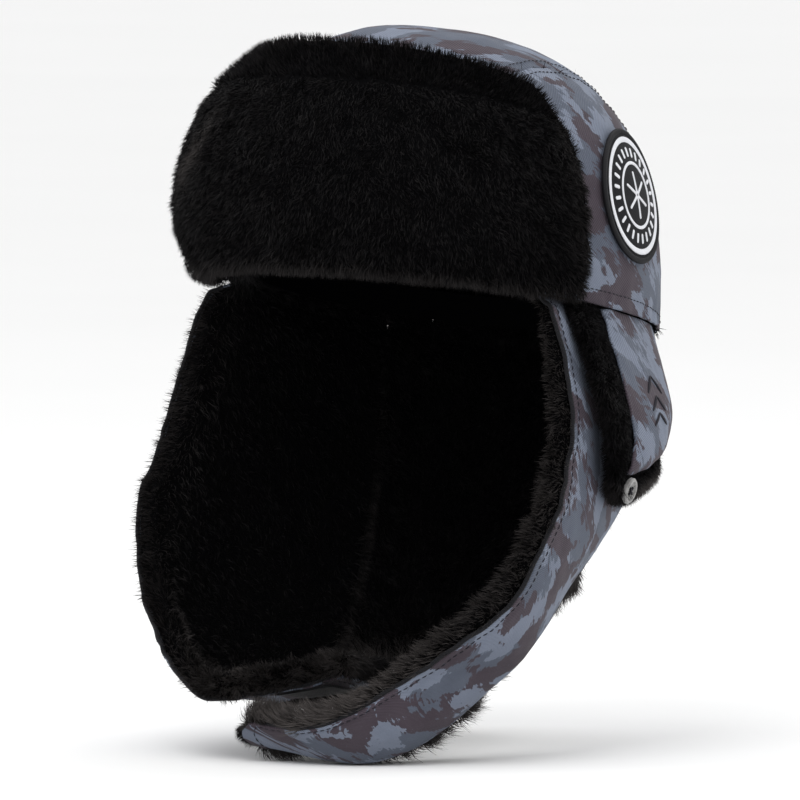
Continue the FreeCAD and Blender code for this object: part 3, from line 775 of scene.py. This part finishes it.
fur_hair = hair_material()
fur_pile = pile_material()
dark_thread = thread_material("dark_thread", (0.022, 0.021, 0.028))
patch_black = thread_material("patch_black_thread", (0.009, 0.009, 0.011), 0.2)
patch_ground = woven_material("patch_black_twill", (0.005, 0.005, 0.007), 0.7, 0.08)
patch_white = thread_material("patch_white_thread", (0.80, 0.81, 0.85), 0.3, 0.1)
tape_black = woven_material("black_tape", (0.010, 0.010, 0.012), 0.9, 0.12)
hem_black = woven_material("black_hem_tape", (0.0016, 0.0016, 0.0020), 0.9, 0.02, 0.9, 0.0)
label_satin = woven_material("label_satin", (0.05, 0.05, 0.06), 0.45, 0.5, 0.4, 0.2)
hook_and_loop = woven_material("hook_and_loop", (0.02, 0.02, 0.022), 0.6)
button_pearl = button_material()


# Attaching


# How each body hangs: the body above it and where the cloth starts and ends its bend, in mm
# below the plane of the hem.
BENDS = {
    "left_ear_flap": ("crown", 1.0, 30.0),
    "right_ear_flap": ("crown", 1.0, 30.0),
    "neck_flap": ("crown", 1.0, 32.0),
    "visor": ("crown", -2.0, -30.0),
    "left_side_flap": ("left_ear_flap", 2.0, 16.0),
    "right_side_flap": ("right_ear_flap", 2.0, 16.0),
}

# Give a finished piece its material and hide the CAD parts it replaces. A piece on a body named in BENDS
# only has its transform baked; any other is parented to its body.

def attach(obj, body, slot, *nodes, material):
    """Put a finished piece on its body, bending from the body above where it has one."""
    obj.data.materials.append(material)
    if body in BENDS:
        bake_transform(obj)
    else:
        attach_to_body(obj, body)
    if nodes:
        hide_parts(*nodes)


# Cloth

def seam_pucker(distance, run, points):
    """Ripples that a row of stitches pulls into cloth beside it."""
    near = np.exp(-(distance / 7.0) ** 2)
    return near * (0.32 * np.sin(run / 3.1 + 2.2 * noise(points, 14.0)) + 0.30 * noise(points, 6.0))


def wrinkled(surface, amount=1.0, puckers=()):
    """A surface with soft folds, and puckers along its lines: (axis, place, scale in mm)."""
    def point(u, v, offset):
        u, v, offset = np.broadcast_arrays(u, v, offset)
        base = surface(u, v, 0.0 * offset)
        folds = amount * (0.95 * noise(base * [1.0, 0.7, 1.3], 34.0) + 0.42 * noise(base, 13.0)
                          + 0.10 * noise(base, 4.5))
        for axis, place, scale in puckers:
            here = (u, v)[axis]
            run = (v, u)[axis] * scale[1]
            folds = folds + seam_pucker((here - place) * scale[0], run, base)
        return surface(u, v, offset + folds)
    return point


def tucked(depth, edges, reach=0.03):
    """Offset that turns the cloth in at the named edges, as where it is sewn to the next piece."""
    def offset(u, v):
        drop = 0.0
        for axis, place in edges:
            distance = np.abs((u, v)[axis] - place)
            drop = drop + depth * np.exp(-(distance / reach) ** 2)
        return -drop
    return offset


def make_cloth(name, surface, spans, steps, body, node, shift, thickness=SKIN, edges=(),
               depth=1.0, cut_flat=False):
    """A cloth piece; cut_flat prints one that hangs nearly in the YZ plane without stretching."""
    outer = tucked(depth, edges)
    shell = Shell(surface, *spans, outer, lambda u, v: outer(u, v) - thickness, steps)
    if cut_flat:
        shell.uv = shell.points[:, 1:]
    obj = shell.add(name)
    attach(obj, body, "camo_twill", node, material=camo_twill(f"{name}_print", shift))


def make_thread(name, parts, body, slot="dark_thread", material=dark_thread, nodes=()):
    points, faces = join(parts)
    attach(add_mesh(name, points, faces), body, slot, *nodes, material=material)


def straight(u_ends, v_ends):
    def line(t):
        return u_ends[0] + (u_ends[1] - u_ends[0]) * t, v_ends[0] + (v_ends[1] - v_ends[0]) * t
    return line


SIDE_PANEL_SPAN = (0.012, 0.988)
crown_center = wrinkled(center_panel, 1.0, [(0, 0.0, (124, 340)), (0, 1.0, (124, 340))])
crown_left = wrinkled(side_panel, 0.9, [(1, 0.0, (75, 300)), (1, 1.0, (75, 300))])
crown_right = mirrored(crown_left)


def make_crown():
    make_cloth("crown_center_cloth", crown_center, ((0, 1), (0, 1)), (110, 240), "crown",
               "crown_center_panel", (0, 40, 0), edges=[(0, 0), (0, 1)], depth=0.9)
    for name, surface, shift in (("left", crown_left, (210, -30, 0)),
                                 ("right", crown_right, (-140, 260, 0))):
        make_cloth(f"crown_side_cloth_{name}", surface, (SIDE_PANEL_SPAN, (0, 1)), (210, 90), "crown",
                   f"crown_side_panel_{name}", shift, edges=[(1, 0)], depth=0.9, cut_flat=True)
    rows = []
    for surface in (crown_left, crown_right):
        rows.append(stitches(surface, straight((0.02, 0.98), (0.045, 0.045))))
        rows.append(stitches(surface, straight((0.03, 0.97), (0.945, 0.945))))
    for u in (0.03, 0.97):
        rows.append(stitches(crown_center, straight((u, u), (0.02, 0.98))))
    for v in (0.016, 0.984):
        rows.append(stitches(crown_center, straight((0.03, 0.97), (v, v))))
    make_thread("crown_topstitching", rows, "crown")
    make_loose_thread()


def make_loose_thread():
    """A short wandering run of thread above the hem, by the front of the patch's panel."""
    def line(t):
        return 0.17 + 0.13 * t, 0.90 + 0.035 * np.sin(9.5 * t) - 0.05 * t
    points, normals = on_line(crown_left, line, 0.35, 0.8)
    make_thread("crown_tack_thread", [tube(points, normals, 0.26, 0.2, 6)], "crown")


EAR_STITCH_INSET = 0.035


def make_ear_cloth(side, surface, body, shift):
    folded = wrinkled(surface, 0.8, [(0, 0.0, (110, 330)), (0, 1.0, (110, 330))])

    def edged(u, v, offset):
        fold = 0.55 * np.exp(-((u - 0.016) / 0.02) ** 2) * smooth((v - 0.35) / 0.2)
        return folded(u, v, offset + fold)

    make_cloth(f"ear_flap_cloth_{side}", edged, ((0, 1), (0, 1)), (90, 300), body,
               f"ear_flap_outer_{side}", shift, edges=[(0, 0.04), (1, 1.0)], depth=0.35)
    rows = [
        stitches(edged, straight((1 - EAR_STITCH_INSET, 1 - EAR_STITCH_INSET), (0.03, 0.985)), -0.05),
        stitches(edged, straight((0.05, 0.95), (0.985, 0.985)), -0.05),
        stitches(edged, straight((EAR_STITCH_INSET, EAR_STITCH_INSET), (0.03, 0.985)), -0.05),
    ]
    make_thread(f"ear_flap_topstitching_{side}", rows, body)
    make_piping(side, edged, body)


def make_piping(side, surface, body):
    """A round cord along the flap's front edge, inside the CAD strip."""
    v = np.linspace(0.02, 0.99, 420)
    zero = np.zeros_like(v)
    edge = surface(zero, v, zero - 1.0)
    ahead = unit(surface(zero - 0.02, v, zero - 1.0) - edge)
    up = unit(surface(zero, v, zero) - edge)
    path = edge + ahead * 1.7
    cord = tube(path, up, 1.05, 1.05, 12, ridge=0.05, ridges=230)
    make_thread(f"ear_flap_cord_{side}", [cord], body, "black_tape", tape_black,
                [f"ear_flap_piping_{side}"])


def make_neck_cloth():
    folded = wrinkled(neck, 0.9, [(1, 1.0, (120, 210))])
    make_cloth("neck_flap_cloth", folded, ((0.015, 0.985), (0, 1)), (200, 150), "neck_flap",
               "neck_flap_outer", (60, 400, 0), edges=[(0, 0.015), (0, 0.985)], depth=0.5)
    rows = [
        stitches(folded, straight((0.03, 0.97), (0.97, 0.97))),
        stitches(folded, straight((0.032, 0.032), (0.04, 0.97))),
        stitches(folded, straight((0.968, 0.968), (0.04, 0.97))),
    ]
    make_thread("neck_flap_topstitching", rows, "neck_flap")


CHEVRON_LEVELS = (0.30, 0.36, 0.42)
CHEVRON_PLACES = (0.44, 0.525, 0.61)    # u of the front end, the point and the rear end
CHEVRON_RISE = 0.05


def make_side_cloth(side, surface, body, shift):
    folded = wrinkled(surface, 0.55, [(0, SIDE_CLOTH_START, (95, 90)), (1, SIDE_CLOTH_END, (90, 95))])
    make_cloth(f"side_flap_cloth_{side}", folded, ((SIDE_CLOTH_START, 1), (0, SIDE_CLOTH_END)), (110, 110),
               body, f"side_flap_outer_{side}", shift, SIDE_SKIN,
               edges=[(0, SIDE_CLOTH_START), (1, SIDE_CLOTH_END)], depth=0.6)
    if side == "left":
        make_emblem(folded, body)


def make_emblem(surface, body):
    """Three stitched chevrons, each arm a satin bar."""
    front, point, rear = CHEVRON_PLACES
    parts = []
    for level in CHEVRON_LEVELS:
        tip = level + CHEVRON_RISE
        for line in (straight((front, point), (tip, level)), straight((point, rear), (level, tip))):
            points, normals = on_line(surface, line, 0.25, 0.22)
            round_end = np.sqrt(np.clip(np.sin(np.linspace(0.12, math.pi - 0.12, len(points))), 0, 1))
            parts.append(tube(points, normals, 0.95 * round_end, 0.45 * round_end, 8,
                              ridge=0.16, ridges=len(points) / 2.4))
    make_thread("side_flap_chevrons", parts, body, nodes=["side_flap_emblem"])


# Pile and hair

ROOT_DEPTH = 0.8


def make_fur(name, surface, spans, outer, inner, steps, body, node, count, seed, length, comb,
             lift, painted_light_tone, wanted, roundness, lumps=0.8):
    """A soft base between two offsets, with hairs on the wanted faces. Functions of a root's place
    (u, v) give its hair's length, and with its point and normal the comb direction and the painted light
    tone.
    lift is 0 for hair that lies flat and 1 for hair that stands."""
    def lumpy(u, v, offset):
        base = surface(u, v, offset)
        bumps = lumps * (noise(base, 5.0) + 0.6 * noise(base, 2.2))
        return surface(u, v, offset + bumps)

    shell = Shell(lumpy, *spans, outer, inner, steps, roundness, rings=6)
    base = shell.add(name)
    attach(base, body, "black_fur", node, material=fur_pile)
    rng = np.random.default_rng(seed)
    kinds = face_kinds(shell)
    middle = shell.places[shell.faces].mean(axis=1)
    weights = wanted(middle[:, 0], middle[:, 1], kinds)
    points, normals, places = sow(shell, count, rng, weights)
    u, v = places.T
    way = unit(comb(u, v, points, normals))
    hairs = hair_mesh(f"{name}_hairs", points - normals * ROOT_DEPTH, normals, way,
                      length(u, v), lift, painted_light_tone(u, v, points, normals), rng)
    attach(hairs, body, "black_fur", material=fur_hair)


def falling(u, v, points, normals):
    """Comb direction: down, and a little out of the pile."""
    return np.zeros_like(points) + [0, 0, -1.0] + 0.25 * normals


def even(value):
    def number(u, v, *rest):
        return np.full(np.shape(u), float(value))
    return number


def make_visor():
    make_cloth("visor_cloth", visor_surface, ((0, 1), (0.01, 0.97)), (220, 60), "visor",
               "visor_backing", (-60, -210, 0))

    def outer(u, v):
        ends = 1 - 0.25 * smooth((np.abs(2 * u - 1) - 0.9) / 0.1)
        return (visor_face(u, v) - HAIR_ABOVE_BASE) * ends

    def wanted(u, v, kinds):
        return np.where(kinds < 0.8, 1.0 + 1.2 * (kinds > 0), 0.0)

    def length(u, v):
        uneven = noise(np.stack([u * 300, v * 130, 0 * u], -1), 30.0)
        return 5.2 + 1.2 * smooth((0.12 - v) / 0.12) + 0.6 * uneven

    def comb(u, v, points, normals):
        return np.stack([(u - 0.5) * 0.9, np.full_like(u, -0.2), np.where(v > 0.85, 0.4, -1.0)], -1)

    # Painted highlight: the hairs along the visor's ends, bottom and top are lighter as if lit at the rim,
    # and a painted sheen streak slants across the visor.
    def painted_light_tone(u, v, points, normals):
        left_end = smooth((u - 0.93) / 0.07)
        bottom = smooth((0.05 - v) / 0.05)
        top = smooth((v - 0.95) / 0.05)
        painted_sheen_streak = 0.55 * np.exp(-(((u - 0.26) / 0.05) ** 2 + ((v - 0.52 - 2.2 * (u - 0.26)) / 0.10) ** 2))
        right_end = 0.22 * smooth((0.16 - u) / 0.16)
        return 0.04 + 0.13 * np.maximum(np.maximum(left_end, bottom), 0.7 * top) + painted_sheen_streak + right_end

    make_fur("visor_pile", visor_surface, ((0, 1), (0, 1)), outer, SKIN + LAYER_GAP, (200, 70), "visor",
             "visor_fur", 62000, 21, length, comb, 0.40, painted_light_tone, wanted,
             roundness=0.35, lumps=0.9)


def lining_offsets(pile):
    back = -(SKIN + LAYER_GAP)

    def face(u, v):
        return back - np.maximum(pile(u, v) - HAIR_ABOVE_BASE, 1.5)
    return back, face


def make_ear_fur(side, surface, pile, body, seed):
    back, face = lining_offsets(pile)

    def wanted(u, v, kinds):
        rim = (kinds > 0) & (kinds < 1)
        front, rear = rim & (u < 0.1), rim & (u > 0.9)
        edges = 3.0 * front + 2.0 * rear + 24.0 * (rear & (v > 0.3))
        ends = 8.0 * (rim & (v > 0.76)) + 9.0 * (rim & (v > 0.97)) + 4.0 * (rim & (v < 0.01))
        return 1.0 * (kinds == 0) + edges + ends

    def comb(u, v, points, normals):
        step = 0.01
        zero = np.zeros_like(u)
        down = unit(surface(u, v + step, zero) - surface(u, v - step, zero))
        across = unit(surface(u + step, v, zero) - surface(u - step, v, zero))
        edge = np.where(u > 0.5, 1.0, -1.0)[:, None] * across
        near = np.maximum(smooth((0.10 - u) / 0.10), smooth((u - 0.9) / 0.10))[:, None]
        sink = np.where(v < 0.5, 1.0, 0.6)[:, None]
        gravity = np.zeros_like(points) + [0, 0, -0.5]
        return down * 0.7 * sink * (1 - 0.5 * near) + edge * near * 1.5 + gravity * (1 - near)

    def length(u, v):
        rear = smooth((u - 0.93) / 0.07) * smooth((v - 0.3) / 0.15)
        front = smooth((0.06 - u) / 0.06)
        tongue = smooth((v - 0.74) / 0.10)
        if side == "right":
            return 5.4 + (2.4 + 8.0 * tongue) * rear + 2.0 * front
        return 5.4 + 9.0 * rear + (2.4 + 5.5 * tongue) * front * smooth((v - 0.1) / 0.2)

    # Painted highlight: lighter hairs along the lit front and rear edges, and a painted sheen low on the
    # lining towards the chin.
    def painted_light_tone(u, v, points, normals):
        front = smooth((0.26 - u) / 0.26)
        rear = smooth((u - 0.94) / 0.06)
        chin = smooth((v - 0.55) / 0.25)
        if side == "left":
            return 0.03 + front * (0.42 + 0.42 * chin) + rear * 0.66 * smooth((v - 0.3) / 0.2)
        return 0.03 + front * 0.22 + 0.34 * chin * (0.5 + noise(points, 24.0)) + rear * 0.2

    make_fur(f"ear_flap_pile_{side}", surface, ((0, 0.985), (-0.012, 1)), face, back, (90, 240), body,
             f"ear_flap_lining_{side}", 64000, seed, length, comb, 0.38, painted_light_tone, wanted, roundness=0.45)


def make_neck_fur():
    back, face = lining_offsets(pile_depth(FLAP_PILE, 0.3))

    def wanted(u, v, kinds):
        return np.where(kinds == 0, 1.0, 0.0) + 3.0 * ((kinds > 0) & (kinds < 1))

    def length(u, v):
        return 5.6 + 3.6 * smooth((v - 0.94) / 0.06)

    def comb(u, v, points, normals):
        low = smooth((v - 0.9) / 0.1)[:, None]
        return np.zeros_like(points) + [0, 0, -1.0] + low * [0, 0.3, -0.6]

    # Painted highlight: the hairs along the flap's bottom edge are lighter as if lit at the rim.
    def painted_light_tone(u, v, points, normals):
        return 0.03 + 0.45 * smooth((v - 0.95) / 0.05)

    make_fur("neck_flap_pile", neck, ((0.006, 0.994), (-0.03, 1)), face, back, (150, 120), "neck_flap",
             "neck_flap_lining", 58000, 31, length, comb, 0.42, painted_light_tone, wanted, roundness=0.45)


def make_crown_fur():
    back, face = lining_offsets(even(CROWN_PILE))

    def wanted(u, v, kinds):
        return np.where(kinds == 0, 1.0, 0.0) + 0.6 * ((kinds > 0) & (kinds < 1))

    panels = (
        ("center", center_panel, (0, 1), (60, 150), 34000),
        ("left", side_panel, SIDE_PANEL_SPAN, (140, 50), 26000),
        ("right", mirrored(side_panel), SIDE_PANEL_SPAN, (140, 50), 26000),
    )
    for name, surface, span, steps, count in panels:
        make_fur(f"crown_pile_{name}", surface, (span, (0, 1)), face, back, steps, "crown",
                 f"crown_lining_{name}", count, 41, even(6.0), falling, 0.5, even(0.03), wanted,
                 roundness=0.15)


def make_side_fur(side, surface, body, seed):
    """The side flap's lining: bare pile shows ahead of the cloth and under it."""
    back = -(SIDE_SKIN + LAYER_GAP)

    def bare(u, v):
        front = smooth((SIDE_CLOTH_START - 0.02 - u) / 0.10)
        low = smooth((v - SIDE_CLOTH_END - 0.02) / 0.08)
        return np.maximum(front, low)

    def outer(u, v):
        return back + 1.2 * bare(u, v)

    def inner(u, v):
        return back - np.maximum(side_pile(u, v) - 1.5, 0.8)

    def wanted(u, v, kinds):
        outside = (kinds == 0) * bare(u, v) * 1.6
        rim = (kinds > 0) & (kinds < 1)
        inside = (kinds == 2) * 0.5
        return outside + rim * 2.2 * ((u < 0.2) | (v > 0.85)) + 0.5 * rim * (u > 0.9) + inside

    def length(u, v):
        return 4.2 + 2.6 * smooth((v - 0.8) / 0.2) + 1.2 * smooth((0.2 - u) / 0.2)

    def comb(u, v, points, normals):
        forward = smooth((0.25 - u) / 0.25)[:, None]
        return np.zeros_like(points) + [0, 0, -1.0] + forward * [0, -0.7, 0.3]

    # Painted highlight: the hairs along the bottom edge are lighter, most towards the rear, as if lit at
    # the rim.
    def painted_light_tone(u, v, points, normals):
        low = smooth((v - 0.86) / 0.10)
        return 0.03 + 0.5 * low * smooth((u - 0.25) / 0.2) + 0.12 * low

    make_fur(f"side_flap_pile_{side}", surface, ((0, 1), (0, 1)), outer, inner, (90, 100), body,
             f"side_flap_lining_{side}", 34000, seed, length, comb, 0.45, painted_light_tone, wanted,
             roundness=0.5, lumps=0.4)


# Patch

def patch_frame():
    angle = math.radians(PATCH_ANGLE)
    hem = np.array([HEM_HALF_WIDTH * math.sin(angle), -HEM_HALF_LENGTH * math.cos(angle)])
    rise = PATCH_LEVEL - HEM_LEVEL + HEM_SLOPE * hem[1]
    share = (1 - (rise / CROWN_HEIGHT) ** CROWN_SQUARENESS) ** (1 / CROWN_SQUARENESS)
    p = np.array([share * hem[0], share * hem[1], rise])
    origin = on_dome(p, 0.0)
    normal = unit(on_dome(p, 1.0) - origin)
    across = unit(np.cross((0, 0, 1), normal))
    return origin, normal, across, np.cross(normal, across)


PATCH = patch_frame()


def patch_surface(x, y, offset):
    """Point over the crown above the place (x, y) mm on the patch, and that far off the cloth."""
    origin, normal, across, up = PATCH
    x, y, offset = np.broadcast_arrays(x, y, offset)
    aim_x, aim_y = x.astype(float), y.astype(float)
    for _ in range(4):
        q = origin + aim_x[..., None] * across + aim_y[..., None] * up
        found = on_dome(off_dome(q), offset) - origin
        aim_x = aim_x + (x - found @ across)
        aim_y = aim_y + (y - found @ up)
    return found + origin


PATCH_FLOAT = 0.9           # the folds of the cloth stay under the patch
PATCH_TOP = 1.5             # where the white threads lie, above that
PATCH_TICKS = 24


def patch_ring(radius, width, height, offset, stitches_round, ridge=0.12):
    count = int(stitches_round * 4)
    turn = 2 * np.pi * np.arange(count) / count
    x, y = radius * np.cos(turn), radius * np.sin(turn)
    path = patch_surface(x, y, np.full(count, offset + PATCH_FLOAT))
    up = unit(patch_surface(x, y, np.full(count, offset + PATCH_FLOAT + 1.0)) - path)
    return tube(path, up, width / 2, height / 2, 12, closed=True, ridge=ridge, ridges=stitches_round)


def patch_bar(start, end, width, height, offset, pitch=0.5):
    start, end = np.array(start, float), np.array(end, float)
    long = np.linalg.norm(end - start)
    count = max(int(long / pitch * 4), 8)
    t = np.linspace(0, 1, count)[:, None]
    x, y = (start + (end - start) * t).T
    path = patch_surface(x, y, np.full(count, offset + PATCH_FLOAT))
    up = unit(patch_surface(x, y, np.full(count, offset + PATCH_FLOAT + 1.0)) - path)
    ends = np.clip(np.minimum(t[:, 0], 1 - t[:, 0]) * long / (width * 0.35), 0.02, 1) ** 0.5
    return tube(path, up, width / 2 * ends, height / 2 * ends, 10, ridge=0.12, ridges=long / pitch)


def patch_spokes(count, first_angle, start, end, width, height):
    """Bars that point away from the middle of the patch, evenly turned."""
    bars = []
    for i in range(count):
        angle = first_angle + 2 * math.pi * i / count
        way = np.array([math.cos(angle), math.sin(angle)])
        bars.append(patch_bar(way * start, way * end, width, height, PATCH_TOP))
    return bars


def make_patch():
    face_radius = PATCH_RADIUS - PATCH_BORDER

    def disc(s, t, offset):
        x = s * np.sqrt(1 - t**2 / 2) * face_radius
        y = t * np.sqrt(1 - s**2 / 2) * face_radius
        return patch_surface(x, y, offset)

    ground = Shell(disc, (-1, 1), (-1, 1), 1.4 + PATCH_FLOAT, 0.2, (70, 70), rings=3)
    attach(ground.add("patch_ground"), "crown", "patch_black", "patch_base", material=patch_ground)
    border_tube = patch_ring(PATCH_RADIUS - PATCH_BORDER / 2, PATCH_BORDER + 0.3, 2.5, 1.1, 200, 0.07)
    make_thread("patch_overlock", [border_tube], "crown", "patch_black", patch_black, ["patch_border"])
    white_threads = {
        "outer_band": ("patch_outer_ring", [patch_ring(27.1, 2.7, 0.9, PATCH_TOP, 280)]),
        "inner_band": ("patch_inner_ring", [patch_ring(15.6, 1.5, 0.8, PATCH_TOP, 165)]),
        "tick_stitching": ("patch_ticks", patch_spokes(PATCH_TICKS, 0.0, 18.5, 23.4, 1.7, 0.7)),
        "star": ("patch_motif", patch_spokes(6, math.radians(30), 1.2, 11.5, 1.4, 0.8)
                 + [patch_ring(1.4, 1.2, 0.8, PATCH_TOP, 18)]),
    }
    for name, (node, parts) in white_threads.items():
        make_thread(f"patch_{name}", parts, "crown", "patch_white", patch_white, [node])


# Small CAD pieces that keep their shape

def finish_cad_pieces():
    finishes = {
        "hem_tape": hem_black,
        "inner_label": label_satin,
        "chin_hook_tape": hook_and_loop,
        "chin_loop_tape": hook_and_loop,
        "button_left": button_pearl,
        "button_right": button_pearl,
        "button_thread_left": dark_thread,
        "button_thread_right": dark_thread,
    }
    for name, material in finishes.items():
        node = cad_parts[name]
        for place in node.material_slots:
            place.link = "OBJECT"
            place.material = material


# Studio

CAMERA_AZIMUTH = 32
CAMERA_ELEVATION = 4
LENS = 900.0
SENSOR = 36.0
VIEW_WIDTH = 0.381              # metres across the picture at the object
VIEW_CENTER = (-20.0, -46.0)    # mm right of and above the origin, in the picture's plane
FLOOR_HALF_SIZE = 40.0          # metres
LIGHT_DISTANCE = 2.0
LIGHTS = {                      # azimuth and elevation in degrees, size in metres, power in watts
    "key": (5, 50, 1.0, 12),
    "fill": (-60, 25, 1.4, 5),
    "rim": (170, 50, 1.2, 6),
}


def direction(azimuth, elevation):
    a, e = math.radians(azimuth), math.radians(elevation)
    return Vector((math.sin(a) * math.cos(e), -math.cos(a) * math.cos(e), math.sin(e)))


def make_camera():
    back = direction(CAMERA_AZIMUTH, CAMERA_ELEVATION)
    right = Vector((-back.y, back.x, 0)).normalized()
    up = back.cross(right)
    center = (right * VIEW_CENTER[0] + up * VIEW_CENTER[1]) * MM
    camera = bpy.data.objects.new("camera", bpy.data.cameras.new("camera"))
    camera.data.lens = LENS
    camera.data.sensor_width = SENSOR
    camera.data.clip_end = 100.0
    camera.location = center + back * (VIEW_WIDTH * LENS / SENSOR)
    camera.rotation_mode = "QUATERNION"
    camera.rotation_quaternion = (-back).to_track_quat("-Z", "Y")
    bpy.context.scene.collection.objects.link(camera)
    bpy.context.scene.camera = camera


def make_floor(level):
    corners = FLOOR_HALF_SIZE * np.array([(-1, -1), (1, -1), (1, 1), (-1, 1)])
    points = np.column_stack([corners, np.full(4, level)]) / MM
    floor = add_mesh("studio_floor", points, [[0, 1, 2, 3]])
    floor.data.materials.append(floor_material())


def make_light(name, azimuth, elevation, size, power):
    way = direction(azimuth, elevation)
    light = bpy.data.lights.new(name, "AREA")
    light.size = size
    light.energy = power
    obj = bpy.data.objects.new(name, light)
    obj.location = way * LIGHT_DISTANCE
    obj.rotation_mode = "QUATERNION"
    obj.rotation_quaternion = way.to_track_quat("Z", "Y")
    bpy.context.scene.collection.objects.link(obj)


def make_studio():
    make_camera()
    make_floor(cad_box[0].z - 0.001)
    world = bpy.data.worlds.new("studio")
    world.use_nodes = True
    background = world.node_tree.nodes["Background"]
    background.inputs["Color"].default_value = color(1.0, 1.0, 1.0)
    background.inputs["Strength"].default_value = 1.0
    bpy.context.scene.world = world
    for name, settings in LIGHTS.items():
        make_light(name, *settings)
    bpy.context.scene.view_settings.view_transform = "Standard"


make_studio()
make_crown()
make_patch()
make_ear_cloth("left", left_ear, "left_ear_flap", (330, 120, 0))
make_ear_cloth("right", right_ear, "right_ear_flap", (-320, 150, 0))
make_neck_cloth()
make_side_cloth("left", left_side, "left_side_flap", (510, 20, 0))
make_side_cloth("right", right_side, "right_side_flap", (-505, 35, 0))
make_visor()
make_ear_fur("left", left_ear, left_pile, "left_ear_flap", 51)
make_ear_fur("right", right_ear, pile_depth(FLAP_PILE, 0.2), "right_ear_flap", 52)
make_neck_fur()
make_crown_fur()
make_side_fur("left", left_side, "left_side_flap", 61)
make_side_fur("right", right_side, "right_side_flap", 62)
finish_cad_pieces()
